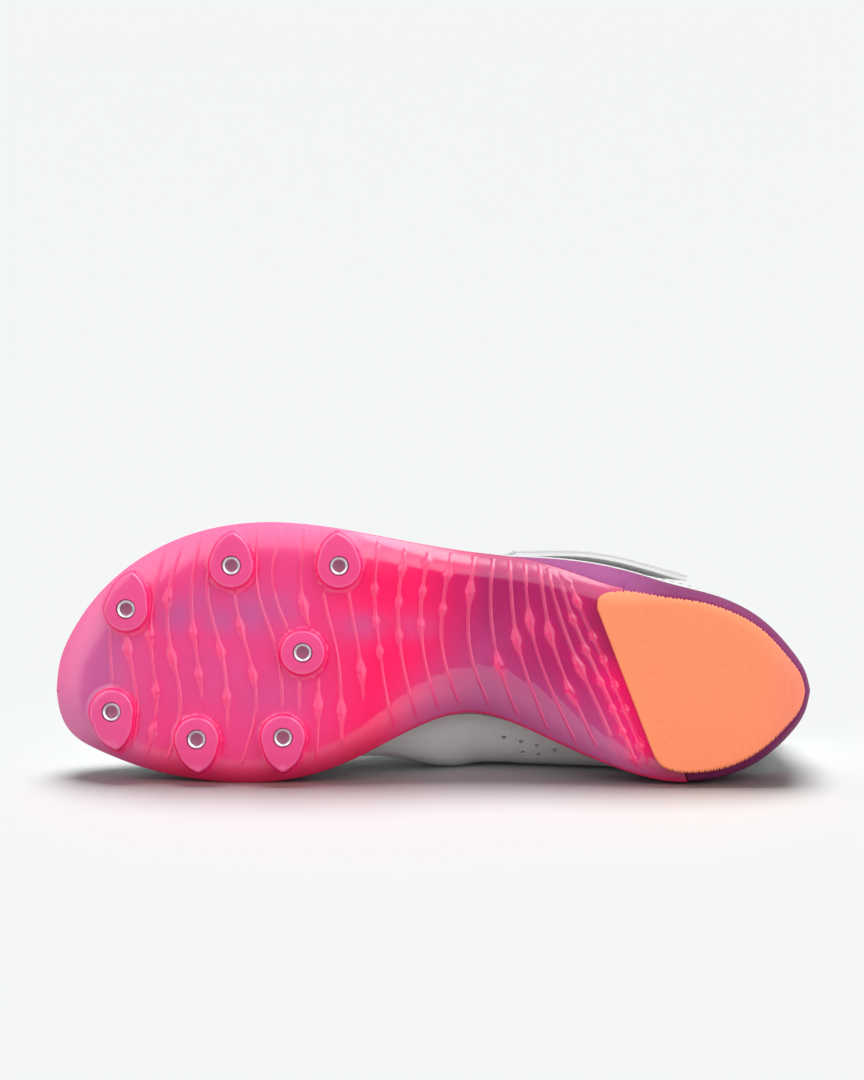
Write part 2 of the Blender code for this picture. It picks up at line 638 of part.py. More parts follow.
def strap_row(q):
    """A line along the strap, from its outer end over the instep to its inner anchor."""
    end = round_share(OUTER, STRAP_END_FRONT_X + (STRAP_END_REAR_X - STRAP_END_FRONT_X) * q)
    top_x = STRAP_TOP_FRONT_X + (STRAP_TOP_REAR_X - STRAP_TOP_FRONT_X) * q
    outer_top, inner_top = round_share(OUTER, top_x), round_share(INNER, top_x)
    climb = np.linspace(0, 1, 9)[:-1]
    around = end + (outer_top - end) * climb**STRAP_LEAN
    outer_reach = STRAP_END_REACH + (1 - STRAP_END_REACH) * climb
    inner_reach = np.linspace(1, STRAP_ANCHOR_REACH, 7)[1:]
    outer = upper_point(around, outer_reach) + strap_lift(outer_reach) * upper_normal(around, outer_reach)
    over = throat_row(outer_top, inner_top, STRAP_LIFT, 1.0, STRAP_CROWN)[3:-3]
    inner = upper_point(inner_top, inner_reach) + strap_lift(inner_reach) * upper_normal(inner_top, inner_reach)
    return np.concatenate([outer, over, inner])


def strap_lift(reach):
    """How far the strap's lower face stands off the upper: close on its sides, clear of the lace above."""
    rise = np.clip((reach - STRAP_RISE_FROM) / STRAP_RISE_OVER, 0, 1)
    return (CURVED_GAP + (STRAP_LIFT - CURVED_GAP) * rise)[:, None]


def build_strap(paint):
    rows = np.stack([strap_row(q) for q in np.linspace(0, 1, STRAP_ACROSS)])
    return sheet_solid("strap", rows, STRAP_THICKNESS, paint)


def lace_tube(name, points, paint):
    """A closed cord along a smooth line through points."""
    points = np.asarray(points)
    chord = np.append(0, np.cumsum(np.linalg.norm(np.diff(points, axis=0), axis=1)))
    at = np.linspace(0, chord[-1], int(chord[-1] / (2.6 * LACE_DIAMETER)))
    line = np.stack([cubic(chord, points[:, k], at) for k in range(3)], axis=1)
    curve = bpy.data.curves.new(name, "CURVE")
    curve.dimensions = "3D"
    curve.bevel_depth = LACE_DIAMETER / 2
    curve.bevel_resolution = 1
    curve.use_fill_caps = True
    spline = curve.splines.new("POLY")
    spline.points.add(len(line) - 1)
    for place, co in zip(spline.points, line):
        place.co = (*co, 1)
    cord = bpy.data.objects.new(name, curve)
    helpers.objects.link(cord)
    graph = bpy.context.evaluated_depsgraph_get()
    mesh = bpy.data.meshes.new_from_object(cord.evaluated_get(graph))
    bpy.data.objects.remove(cord)
    bm = bmesh.new()
    bm.from_mesh(mesh)
    bmesh.ops.remove_doubles(bm, verts=bm.verts, dist=0.005)
    face_outwards(bm)
    return mesh_object(name, bm, paint)


def build_lace(paint):
    """Two crossing runs and a bar at the toe end, joined where they cross."""
    lift = LACE_DIAMETER / 2 + 2 * CURVED_GAP
    rows = [throat_row(round_share(OUTER, x), round_share(INNER, x), lift, LACE_REACH, LACE_CROWN)
            for x in LACE_ROWS_X]
    middle = len(rows[0]) // 2
    runs = []
    for first in (0, -1):
        points = []
        for number, row in enumerate(rows):
            near = 0 if (number % 2 == 0) == (first == 0) else -1
            near_edge, far_edge = (3, -4) if near == 0 else (-4, 3)
            points.append(row[near])
            if number + 1 < len(rows):
                ahead = rows[number + 1]
                points.append(row[near_edge] * 0.75 + ahead[near_edge] * 0.25)
                points.append((row[middle] + ahead[middle]) / 2)
                points.append(row[far_edge] * 0.25 + ahead[far_edge] * 0.75)
        runs.append(points)
    lace = lace_tube("lace", runs[0], paint)
    bar = [rows[0][k] for k in (0, 3, middle, -4, -1)]
    for name, points in (("lace_second_run", runs[1]), ("lace_toe_bar", bar)):
        boolean(lace, as_helper(lace_tube(name, points, paint)), "UNION")
    return lace


# Lying on the floor

def shoe_points(*names):
    """The corners of finished pieces, in the shoe's frame, in millimetres."""
    graph = bpy.context.evaluated_depsgraph_get()
    found = []
    for name in names:
        mesh = bpy.data.objects[name].evaluated_get(graph).to_mesh()
        found.append(np.array([vert.co for vert in mesh.vertices]) / MM)
    return np.concatenate(found)


def resting_way():
    """The way down when the shoe lies on its inner side: forefoot, heel and upper touch one plane."""
    points = shoe_points("outsole_plate", "midsole", "upper")
    x, z = points[:, 0], points[:, 2]
    low = z < profile("rim", x) + FEATHER_GAP
    forefoot, rear = x > 0.6 * LENGTH, x < 0.35 * LENGTH
    zones = [points[low & forefoot], points[low & rear], points[~low & ~forefoot]]
    down = np.array([0.0, -1.0, 0.15])
    for _ in range(30):
        touch = [zone[(zone @ down).argmax()] for zone in zones]
        down = np.cross(touch[1] - touch[0], touch[2] - touch[0])
        down *= -np.sign(down[1]) / np.linalg.norm(down)
    return down


def lay_down():
    """Turns the shoe's empty so that it rests on the floor, its box centred over the origin."""
    down = resting_way()
    behind = np.array([0.0, 0.0, 1.0])
    behind -= down * (behind @ down)
    behind /= np.linalg.norm(behind)
    turn = np.stack([np.cross(behind, -down), behind, -down])
    world = shoe_points(*[obj.name for obj in parts.objects if obj.type == "MESH"]) @ turn.T
    low, high = world.min(0), world.max(0)
    place = -np.array([(low[0] + high[0]) / 2, (low[1] + high[1]) / 2, low[2]]) * MM
    matrix = Matrix.Identity(4)
    for row in range(3):
        matrix[row][:3] = turn[row]
        matrix[row][3] = place[row]
    shoe.matrix_world = matrix
    bpy.context.view_layer.update()


def main():
    pink = material("translucent pink plate", PINK, 0.12)
    purple = material("purple foam", PURPLE, 0.7)
    orange = material("orange rubber", ORANGE, 0.6)
    white = material("white textile", WHITE, 0.75)
    grey = material("grey textile", GREY, 0.85)
    steel = material("steel", STEEL, 0.25, metallic=1.0)
    build_plate(pink)
    for number, pod in enumerate(PODS, 1):
        build_insert(number, pod, steel)
    build_pad(orange)
    build_midsole(purple)
    build_insole(grey)
    build_upper(white)
    build_tongue(white)
    build_lace(white)
    build_strap(white)
    lay_down()


for old in list(bpy.data.objects):
    bpy.data.objects.remove(old)
parts = bpy.data.collections.new("long_jump_spike")
helpers = bpy.data.collections.new("cutters")
bpy.context.scene.collection.children.link(parts)
bpy.context.scene.collection.children.link(helpers)
shoe = bpy.data.objects.new("shoe_frame", None)
parts.objects.link(shoe)
main()
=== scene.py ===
"""Looks of a long jump spike, a left shoe that lies on its inner side with the sole facing -Y.

Forms are worked out in the shoe's own frame, in millimetres: x runs from the back of the heel to the toe,
y from the inner (medial) side to the outer (lateral) side, z up from the ground that the shoe would stand on.
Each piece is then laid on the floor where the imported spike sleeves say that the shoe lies.
"""

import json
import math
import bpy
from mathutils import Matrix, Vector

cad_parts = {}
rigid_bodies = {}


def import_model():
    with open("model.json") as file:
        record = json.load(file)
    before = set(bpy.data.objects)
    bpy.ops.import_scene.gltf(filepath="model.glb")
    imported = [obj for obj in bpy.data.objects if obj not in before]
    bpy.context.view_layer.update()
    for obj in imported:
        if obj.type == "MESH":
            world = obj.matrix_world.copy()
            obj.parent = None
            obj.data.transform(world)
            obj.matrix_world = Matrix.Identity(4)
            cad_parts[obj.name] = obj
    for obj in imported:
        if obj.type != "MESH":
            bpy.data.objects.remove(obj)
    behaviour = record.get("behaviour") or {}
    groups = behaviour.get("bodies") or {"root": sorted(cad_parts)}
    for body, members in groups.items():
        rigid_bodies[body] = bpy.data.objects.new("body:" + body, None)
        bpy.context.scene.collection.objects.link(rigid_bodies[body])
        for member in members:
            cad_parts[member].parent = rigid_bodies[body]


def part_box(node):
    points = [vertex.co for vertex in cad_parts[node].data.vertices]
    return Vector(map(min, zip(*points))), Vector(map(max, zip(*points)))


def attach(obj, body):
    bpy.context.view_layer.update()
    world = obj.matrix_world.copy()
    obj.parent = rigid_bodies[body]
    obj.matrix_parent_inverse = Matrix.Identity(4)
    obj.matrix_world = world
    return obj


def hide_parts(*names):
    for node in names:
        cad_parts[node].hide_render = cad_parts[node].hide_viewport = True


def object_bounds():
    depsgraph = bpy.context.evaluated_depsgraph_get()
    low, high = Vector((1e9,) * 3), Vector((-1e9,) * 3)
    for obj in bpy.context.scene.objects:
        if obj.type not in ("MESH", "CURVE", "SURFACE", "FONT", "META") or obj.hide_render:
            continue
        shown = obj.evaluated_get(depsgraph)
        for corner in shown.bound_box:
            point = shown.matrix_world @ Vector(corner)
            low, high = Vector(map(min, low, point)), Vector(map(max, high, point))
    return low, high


bl_info = {
    "name": "Long jump spike",
    "version": (1, 0, 0),
    "blender": (4, 5, 0),
    "location": "View3D > Sidebar > Spike",
    "description": "Dresses a long jump spike: ribbed plate, heel tread, foam, upper, strap and lace",
    "category": "Object",
}

import bmesh
import bpy
import numpy as np
from mathutils import Matrix, Vector

for old in list(bpy.data.objects):
    bpy.data.objects.remove(old)
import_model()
CAD_LOW, CAD_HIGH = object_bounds()

MM = 0.001

# How close corners are merged, how far a sleeve may lie from its place, how finely curves are worked out, and
# how many places are compared at a time.
MERGE, RING_MERGE = 0.004, 0.002
SEAT_TOLERANCE = 0.1
CURVE_STEPS, SHARE_STEPS, RIM_STEPS, INSET_STEPS, BACK_STEPS = 1200, 2001, 900, 160, 120
BATCH, GRID_BATCH = 4000, 500

# Sizes of the shoe, in millimetres
LENGTH = 283.0
PLATE_THICKNESS = 2.0
PAD_THICKNESS = 3.0
INSOLE_THICKNESS = 3.0
UPPER_WALL = 2.2
TONGUE_THICKNESS = 3.5
STRAP_THICKNESS = 2.6
LACE_DIAMETER = 2.4
CURVED_GAP = 0.6
FEATHER_GAP = 0.5
BED_DISH = 3.0
DISH_WIDTH = 22.0
INSOLE_EDGE, INSOLE_EDGE_WIDTH = 0.9, 3.0
INSOLE_ROWS, INSOLE_ACROSS = 150, 41

# The midsole: how far it is drawn in, the bulge of its wall at shares of its height, where it gives way to
# the upper along the arch, and from where to where the foam is painted darker towards the heel, as shade.
MIDSOLE_INSET = 1.0
MIDSOLE_WALL = ((0.05, 0.45), (0.15, 0.8), (0.3, 1.0), (0.5, 0.92), (0.7, 0.65), (0.85, 0.35), (0.95, 0.1))
ARCH_INSET, ARCH_X = 2.0, (88.0, 102.0, 158.0, 172.0)
HEEL_SHADE_X = (82.0, 48.0)
FOAM_ROWS, HEEL_FOAM_ROWS, FOAM_ACROSS, FOAM_TOP_ACROSS = 110, 60, 17, 15
TOE_DRAW = 0.5

# The two outlines of the sole in plan, a row for each section, from toe to heel.
# edge is the rim of the plate and heel, feather the line where the upper meets the midsole.
TOE_TIP = {"edge": (LENGTH, 34.5), "feather": (281.6, 35.0)}
HEEL_TIP = {"edge": (1.8, 35.0), "feather": (0.6, 35.0)}
OUTLINE_COLUMNS = ("x", "edge_inner", "edge_outer", "feather_inner", "feather_outer")
OUTLINE = [
    (281.6, 26.0, 45.5, 28.5, 42.5),
    (277.5, 18.6, 55.4, 20.0, 53.6),
    (267.0, 12.0, 70.4, 13.4, 69.0),
    (250.0, 5.6, 84.5, 6.9, 83.2),
    (228.0, 1.2, 94.0, 2.5, 92.7),
    (205.0, 0.4, 97.2, 1.7, 95.8),
    (180.0, 5.6, 95.3, 6.6, 94.0),
    (155.0, 17.6, 90.8, 17.6, 89.8),
    (127.0, 26.4, 86.2, 25.4, 85.6),
    (105.0, 19.9, 83.2, 19.4, 84.6),
    (88.0, 12.2, 78.2, 13.2, 83.2),
    (72.0, 5.9, 73.2, 7.8, 80.3),
    (52.0, 1.2, 71.4, 3.8, 74.6),
    (34.0, 3.0, 67.4, 4.2, 69.8),
    (19.8, 9.6, 60.2, 9.4, 62.6),
    (8.6, 20.0, 48.6, 18.2, 51.8),
    (3.4, 27.4, 41.6, 25.6, 44.0),
]

# Heights along the shoe, a row for each section.
# underside is the plate's lower face at mid-width, roll how far its rim turns up, inner_roll and outer_roll
# over what width, rim the top of the midsole's edge and bulge how far its wall swells between edge and rim.
PROFILE_COLUMNS = ("x", "underside", "roll", "inner_roll", "outer_roll", "rim", "bulge")
PROFILE = [
    (0.0, 5.6, 1.4, 8.0, 8.0, 22.0, 1.5),
    (12.0, 3.9, 1.4, 8.0, 8.0, 21.4, 1.5),
    (30.0, 3.3, 1.4, 8.0, 8.0, 20.6, 1.5),
    (70.0, 3.3, 3.0, 10.0, 8.0, 19.8, 1.4),
    (95.0, 5.0, 6.0, 16.0, 9.0, 20.0, 0.9),
    (122.0, 7.4, 8.0, 21.0, 10.0, 21.0, 0.2),
    (150.0, 5.8, 6.6, 15.0, 11.0, 18.6, 0.0),
    (175.0, 3.9, 5.2, 10.0, 12.5, 15.6, 0.0),
    (195.0, 3.5, 4.7, 9.0, 13.5, 14.2, 0.0),
    (215.0, 3.9, 4.6, 9.0, 14.0, 14.2, 0.0),
    (240.0, 5.8, 4.6, 9.0, 13.5, 15.8, 0.0),
    (262.0, 8.6, 4.8, 9.0, 12.0, 18.6, 0.0),
    (283.0, 12.0, 5.0, 9.0, 9.0, 22.0, 0.0),
]
ROLL_POWER = 2.2
TOE_BLEND_X, TOE_BLEND_WIDTH = 250.0, 24.0

# The plate ends on a slanting line under the heel pad, given by its place on either rim.
PLATE_END = {"inner": (47.5, 1.0), "outer": (72.0, 73.2)}
PLATE_OVERRUN = 0.8
PLATE_LEVELS = (-2.0, 100.0, 0.25)
PLATE_ACROSS = 110
PLATE_BACK = 24
TIP_ROWS, LEAST_ROWS = 60, 6
ROW_STEP = 0.55
ROW_CROWDING = 0.7

# The bulge of the plate's rim at shares of its height, over what width relief fades towards the rim, and
# where the arch swells more between two ribs: distances from the rim, and x.
PLATE_WALL = ((0.15, 0.2), (0.5, 0.32), (0.85, 0.2))
RELIEF_EDGE = 1.5
DOME_ACROSS, DOME_ALONG = (9.0, 17.0, 20.0, 34.0), (70.0, 90.0, 160.0, 175.0)

# Ribs of the plate, from toe to heel: the stretches that each runs over, as pairs of outer and inner y, its x
# at the five levels across the plate, and the y of its diamond studs.
RIB_LEVELS = (5.0, 30.0, 50.0, 70.0, 95.0)
RIBS = [
    (((57.5, 36.5),), (259.5, 261.0, 262.7, 262.0, 262.0), ()),
    (((55.0, 11.0),), (257.0, 252.5, 255.8, 257.0, 257.0), (49.5,)),
    (((85.7, 9.5),), (250.3, 245.2, 247.3, 246.5, 239.0), (55.0, 34.0, 19.5)),
    (((88.4, 7.5),), (242.5, 236.2, 240.0, 240.8, 233.5), (68.5, 46.5)),
    (((90.5, 31.0),), (225.5, 228.0, 230.5, 232.2, 228.0), (56.0, 40.0)),
    (((92.4, 20.0),), (219.5, 218.7, 221.2, 226.2, 221.5), (49.0, 31.5)),
    (((71.5, 6.0),), (214.0, 207.9, 211.5, 216.0, 214.5), (58.0, 40.0)),
    (((94.7, 27.5),), (198.0, 198.2, 200.4, 207.2, 207.2), ()),
    (((94.7, 56.5), (39.5, 26.0)), (191.5, 191.8, 193.5, 201.0, 199.0), ()),
    (((95.0, 58.0), (39.5, 7.5)), (185.6, 184.7, 186.0, 191.0, 189.9), (66.0, 28.5)),
    (((72.5, 13.0),), (176.2, 176.2, 178.2, 182.8, 184.0), (26.5,)),
    (((72.5, 31.0),), (167.0, 167.8, 169.8, 173.4, 174.5), (41.5,)),
    (((90.0, 20.0),), (150.8, 158.7, 162.0, 163.9, 161.9), (72.5, 60.5, 49.0)),
    (((87.5, 24.0),), (141.3, 149.6, 154.1, 154.8, 151.0), (79.5, 67.5, 55.0)),
    (((86.0, 27.0),), (131.0, 140.6, 145.7, 146.2, 141.9), (83.0, 71.5, 59.0)),
    (((85.5, 29.0),), (121.8, 132.2, 138.4, 137.8, 133.4), (77.5, 65.0)),
    (((84.5, 28.5),), (109.5, 121.2, 128.0, 128.3, 125.4), (71.5,)),
    (((84.0, 24.5),), (99.3, 112.0, 118.4, 120.4, 118.1), (44.0,)),
    (((84.0, 19.5),), (92.4, 102.8, 109.7, 112.5, 113.9), (53.5,)),
    (((83.5, 14.5),), (83.2, 95.3, 103.1, 106.7, 107.9), (60.5,)),
    (((82.0, 13.0),), (76.3, 88.3, 96.4, 100.6, 103.9), (56.0, 34.0)),
    (((80.0, 16.0),), (69.9, 80.7, 89.8, 96.6, 101.2), (43.5,)),
    (((75.5, 6.0),), (64.6, 75.4, 84.5, 92.6, 98.7), (61.5, 50.0, 38.0, 28.0, 19.5, 9.0)),
    (((75.5, 6.0),), (60.3, 70.8, 79.6, 88.7, 96.8), (68.0, 55.0, 46.5, 37.0, 28.0, 15.0)),
]
RIB_TAPER = 3.0
RIB_DOT = 0.8
STUD_SHARE = 0.3
STUD_LEAST = 0.65

# How far the painted glow of ribs and studs covers the plate: of a rib, full and ending at distances in its
# half widths, of a stud, how much less on its lit flank towards the heel, painted paler, and of the halo
# round it.
RIB_COVER, RIB_COVER_FULL, RIB_COVER_END = 0.5, 0.28, 1.68
STUD_COVER, STUD_LIT_FLANK = 0.9, 0.5
STUD_HALO = 0.45

# Milky clouds under the plate's face: centre in plan, half length, half width and strength.
CLOUDS = [
    (237.0, 62.5, 8.0, 7.0, 1.0),
    (229.5, 66.0, 8.0, 7.0, 0.7),
    (222.0, 61.0, 9.0, 6.0, 0.9),
    (211.0, 64.0, 9.0, 9.0, 0.9),
    (199.0, 65.0, 9.0, 7.0, 0.7),
    (226.0, 40.0, 16.0, 12.0, 0.35),
    (203.0, 32.0, 14.0, 10.0, 0.35),
    (168.0, 58.5, 12.0, 6.0, 0.55),
    (149.0, 59.0, 10.0, 6.0, 0.5),
    (124.0, 52.0, 14.0, 12.0, 0.3),
]

# Colours along the plate, from toe to heel: shares of its length and the colour there.
PLATE_TINTS = [(1.0, "toe"), (0.95, "toe"), (0.86, "forefoot"), (0.68, "forefoot"), (0.58, "ball"),
               (0.53, "ball"), (0.43, "waist"), (0.32, "waist"), (0.24, "rear")]

# Marks that lay other colours over them, in this order: mauve with a painted floor reflection, painted sheen,
# painted shade, pod faces, painted glow and painted light in the wells.
PLATE_MARKS = {"mauve": "cloud_and_reflection", "pale": "pale", "deep": "deep", "face": "face", "glow": "glow",
               "well": "well"}

# Tints along the plate's rim, among them a painted floor reflection, painted shade and painted sheen: how far
# in each reaches, between which x it rises and falls, and its strength.
HEEL_END, TOE_END = (-20.0, -10.0), (290.0, 300.0)
RIM_TINTS = {
    # The arch's tint is a painted reflection of the floor in the inner rim.
    "arch": (30.0, (52.0, 72.0), (140.0, 170.0), 0.7),
    "inner rim shade": (15.0, (150.0, 175.0), (237.0, 262.0), 0.85),
    "rim line": (1.1, HEEL_END, (155.0, 165.0), 0.85),
    "outer rim sheen": (18.0, (140.0, 170.0), TOE_END, 0.5),
    "matt forefoot": (16.0, (158.0, 178.0), TOE_END, 1.0),
    "matt waist": (16.0, HEEL_END, TOE_END, 0.35),
}

# Other tints: of the toe, by x and distance from the rim, and the painted glow of the plate beside the pad,
# by its distance from the pad and its y; and the strengths of the painted glow on ribs, pod walls and their
# halos, and of the tint of pod faces.
TOE_TINT, TOE_TINT_X, TOE_TINT_RIM = 0.7, (250.0, 270.0), (2.0, 12.0)
PAD_GLOW, PAD_GLOW_REACH, PAD_GLOW_Y = 0.85, 18.0, (5.0, 15.0, 38.0, 52.0)
RIB_GLOW, POD_GLOW, HALO_SHARE, FACE_TINT = 0.85, 0.9, 0.9, 0.8

# Spike pods: centre in plan, and the angle and length of the tail that runs out to the rim.
PODS = [
    (256.4, 64.8, 100.0, 14.0),
    (217.2, 81.2, 92.0, 12.5),
    (177.2, 81.2, 86.0, 12.5),
    (190.6, 48.8, 90.0, 0.0),
    (197.8, 17.0, 270.0, 13.0),
    (229.9, 16.2, 266.0, 12.5),
    (261.7, 26.3, 262.0, 14.5),
]
POD_RADIUS = 8.3
POD_HEIGHT = 3.5
POD_DRAFT = 1.2
TAIL_SPREAD = 1.15
TAIL_POWER = 1.35
POD_LEAN_SPAN = 3.0
POD_SIDES = 96
POD_SINK = 0.15
POD_BENDS = (0, 22, 45, 68, 90)
POD_WALL, POD_FLARE = (0.35, 0.6, 0.8, 0.92, 1.0), 2.5
POD_ROOT = (1.0, 0.65, 0.3, 0.0)
POD_SPREAD, FOOT_SPREAD, HALO_SPREAD = 0.6, 1.0, 0.8
# The halo of painted glow round a pod lies shifted towards the heel and the inner side, thicker there.
HALO_SHIFT = (0.9, 0.7)
FACE_FROM, FACE_RISE = 0.86, 12.0
SLEEVE_RADIUS = 3.4
SLEEVE_BORE = 2.4
SLEEVE_LENGTH = 4.3
SLEEVE_RECESS = 0.2
SLEEVE_SINK = 0.6
SLEEVE_CHAMFER = (0.3, 0.2)
SLEEVE_STEPS = 48
THREAD_PITCH, THREAD_DEPTH, THREAD_END = 0.8, 0.15, 0.3
WELL_GAP = 0.3
WELL_OVERSHOOT = 2.0

# Heel pad in plan, from its front corners round to the tip.
PAD_TIP = (2.8, 35.0)
PAD_OUTER = [(80.6, 65.5), (80.0, 69.6), (76.5, 71.6), (58.0, 70.6), (42.2, 68.4), (31.0, 65.0), (19.8, 58.8),
             (8.6, 47.2), (4.2, 40.8)]
PAD_INNER = [(59.6, 11.5), (57.0, 7.4), (51.5, 4.6), (43.0, 4.2), (33.0, 5.8), (19.8, 12.2), (8.6, 22.6),
             (4.2, 28.8)]
PAD_ROWS, PAD_ACROSS = 270, 52
PAD_EDGE = 0.7
# Darker tone towards the back of the heel pad: its strength, and the x over which it comes in.
PAD_BACK_TONE, PAD_BACK_TONE_X = 0.7, (26.0, 4.0)

# Small studs of the pad: their first and last x and y, how clear of the rim, and their corners' radii in half
# widths. Teeth of its edge: one tooth's form, how uneven they are, their rows, and where across they begin.
TREAD_FIRST, TREAD_LAST = (5.0, 6.0), (80.0, 72.0)
TREAD_MARGIN = 3.8
TREAD_TOP, TREAD_FOOT = 1.05, 1.414
TOOTH_FORM = (0.0, 0.4, 1.0, 0.6)
TOOTH_WAVE, TOOTH_TURN = 0.25, 0.7
TOOTHED_ROWS = (21, 33, 255, 264)
TOOTH_BAND = 0.9

# The upper: a row for each column of its wall, round the shoe from the toe by the outer side.
# base_x is where the column stands on the feather line, top its end on the topline, swell and rise place the
# wall's lower handle out from and above its base, shoulder and drop its upper handle from the topline.
UPPER_COLUMNS = ("side", "base_x", "top_x", "top_y", "top_z", "swell", "rise", "shoulder", "drop")
INNER, TIP, OUTER = -1, 0, 1
UPPER = [
    (TIP, 281.6, 198.0, 45.0, 49.0, 3.0, 15.0, 46.0, 1.0),
    (OUTER, 262.0, 196.5, 50.5, 49.2, 3.5, 15.0, 36.0, 2.0),
    (OUTER, 235.0, 189.0, 53.0, 51.0, 3.0, 16.0, 26.0, 4.0),
    (OUTER, 205.0, 175.0, 54.0, 55.5, 3.0, 17.0, 25.0, 5.0),
    (OUTER, 168.0, 154.0, 57.0, 63.0, 3.5, 18.0, 20.0, 8.0),
    (OUTER, 131.0, 124.0, 60.0, 76.0, 4.0, 22.0, 16.0, 16.0),
    (OUTER, 102.0, 101.0, 67.0, 65.0, 3.5, 18.0, 11.0, 16.0),
    (OUTER, 72.0, 72.0, 70.0, 57.0, 3.0, 15.0, 7.0, 14.0),
    (OUTER, 40.0, 40.0, 64.0, 61.0, 2.5, 16.0, 5.0, 16.0),
    (OUTER, 14.0, 14.5, 53.0, 69.0, 2.5, 18.0, 2.0, 18.0),
    (TIP, 0.6, 9.0, 36.0, 73.0, 3.0, 18.0, 1.5, 22.0),
    (INNER, 14.0, 14.5, 20.5, 69.5, 1.0, 18.0, 1.5, 18.0),
    (INNER, 40.0, 40.0, 14.5, 63.0, -2.0, 14.0, 4.0, 14.0),
    (INNER, 72.0, 72.0, 14.0, 60.0, 6.5, 12.0, 6.0, 14.0),
    (INNER, 102.0, 101.0, 18.0, 68.0, 21.5, 12.0, 11.0, 24.0),
    (INNER, 131.0, 124.0, 27.0, 77.0, 34.0, 12.0, 17.0, 34.0),
    (INNER, 150.0, 139.0, 30.8, 70.6, 29.5, 13.0, 22.0, 26.0),
    (INNER, 168.0, 154.0, 34.5, 64.5, 5.5, 16.0, 28.0, 18.0),
    (INNER, 205.0, 175.0, 38.0, 56.5, -1.0, 14.0, 28.0, 8.0),
    (INNER, 235.0, 189.0, 39.0, 51.8, -0.5, 14.0, 28.0, 6.0),
    (INNER, 262.0, 196.5, 41.0, 49.4, 3.0, 15.0, 36.0, 2.0),
]
UPPER_ROUND = 360
UPPER_RISE = 72
TIP_CROWDING = 0.045
OUT_SPAN = 0.03
NORMAL_SPAN = (0.004, 0.02)
FEATHER_SET = 0.3
ROUND_LENGTH = 560.0
SHEET_UNIT = 100.0

# Overlays of the upper, by shares of the wall's height and x: toe guard, heel counter and eyestays.
GUARD_LOW, GUARD_RISE, GUARD_X, GUARD_END_X = 0.12, 0.22, (205.0, 275.0), (195.0, 199.0)
COUNTER_TOP, COUNTER_X = 0.62, (78.0, 8.0)
STAY_REACH, STAY_X = 0.8, (117.0, 123.0)
OVERLAY_SOFT = 0.018

# Creases over the vamp: x at mid-width, lean, half width and share of the full depth.
CREASES = [
    (214.0, 0.10, 5.0, 1.0),
    (203.0, -0.06, 4.0, 0.7),
    (226.0, 0.16, 4.5, 0.5),
]
CREASE_MIDDLE = 48.0
CREASE_REACH = (0.35, 0.60, 0.85, 0.97)

# Trim of the upper: the tape's half width, its height over that, its sides, girth and lap; an eyelet's
# section as radii and heights; and stitches, with their spacing in lengths and the half widths of one.
BINDING_HALF, BINDING_TALL, BINDING_SIDES, BINDING_GIRTH, BINDING_LAP = 1.5, 1.2, 14, 10.0, 2.0
EYELET_SECTION = [(1.7, 0.0), (1.9, 0.5), (2.4, 0.7), (2.9, 0.5), (3.1, 0.0), (3.0, -0.4), (1.8, -0.4)]
EYELET_STEPS = 24
COUNTER_SEAM_X, GUARD_SEAM_X = (6.0, 66.0), (206.0, 279.0)
SEAM_INSET, SEAM_STAND = 0.045, 0.05
STITCH_SPACING, STITCH_HALF = 1.5, (0.28, 0.22)

# Tongue, lace and strap lie on the upper: base_x names a column of its wall, reach a share of its height.
TONGUE_FRONT_X, TONGUE_TOP_X = 232.0, 133.0
TONGUE_TUCK, TONGUE_TOP_TUCK = 0.84, 0.995
TONGUE_STAND = (-9.0, 0.0, 19.0)
TONGUE_ROOT = (18.0, 0.0, -4.0)
TONGUE_CROWN = 2.5
TONGUE_ROWS, TONGUE_STAND_ROWS, TONGUE_ROOT_ROWS = 60, 20, 10
TONGUE_ROUND_ROWS, TONGUE_ROUND = 8, 0.12
TONGUE_ARCH, TONGUE_CLIMB = 11, 9
TONGUE_CLEAR, TONGUE_BULGE = (0.3, 0.2), 1.0
THROAT_ARCH, THROAT_CLIMB, THROAT_SPAN = 5, 4, 0.01
LACE_ROWS_X = (226.0, 206.0, 186.0, 166.0, 146.0)
LACE_REACH = 0.93
LACE_CROWN = 5.0
LACE_EASE = 0.25
CORD_STEP = 0.8
STRAP_END_FRONT_X, STRAP_END_REAR_X = 112.0, 47.0
STRAP_TOP_FRONT_X, STRAP_TOP_REAR_X = 176.0, 135.0
STRAP_END_REACH = 0.30
STRAP_ANCHOR_REACH = 0.76
STRAP_LIFT = LACE_DIAMETER + 5 * CURVED_GAP
STRAP_RISE_FROM, STRAP_RISE_OVER = 0.70, 0.18
STRAP_FLARE, STRAP_FLARE_OVER, STRAP_FLARE_FROM = 1.6, 0.25, 0.5
STRAP_LEAN = 1.35
STRAP_CROWN = 6.0
STRAP_LINES, STRAP_CLIMB, STRAP_ARCH, STRAP_ANCHOR = 36, 40, 15, 20
STRAP_CORE_SET = 0.25

# Layers of the strap, from below: the heights of both faces, and how far the edge between them bulges.
STRAP_LAYERS = ((0.0, 0.85, 0.05), (0.85, 1.7, 0.0), (1.7, STRAP_THICKNESS, 0.1))

# Cloths: how coarse each is beside the upper's, and the depth of its weave.
CLOTHS = {
    "upper cloth": (1.0, 0.16),
    "lining cloth": (1.3, 0.16),
    "insole cloth": (1.0, 0.16),
    "binding tape": (0.8, 0.1),
    "tongue cloth": (1.5, 0.25),
    "strap cloth": (0.7, 0.08),
    "strap core": (1.0, 0.16),
    "braided lace": (0.9, 0.2),
}

# Perforations of the inner quarter: a row for each share of the wall's height, with the x of its columns.
HOLE_ROWS = [
    (0.087, (113.7, 107.0, 101.1, 94.6)),
    (0.172, (105.0, 99.4)),
]
HOLE_RADIUS = 0.95
HOLE_SIDES = 16

# What the picture frames: a point of the sole at its middle, and the height of the sole's plane it takes in.
FRAME_CENTRE = (142.4, 91.0, 3.9)
FRAME_HEIGHT = 403.7

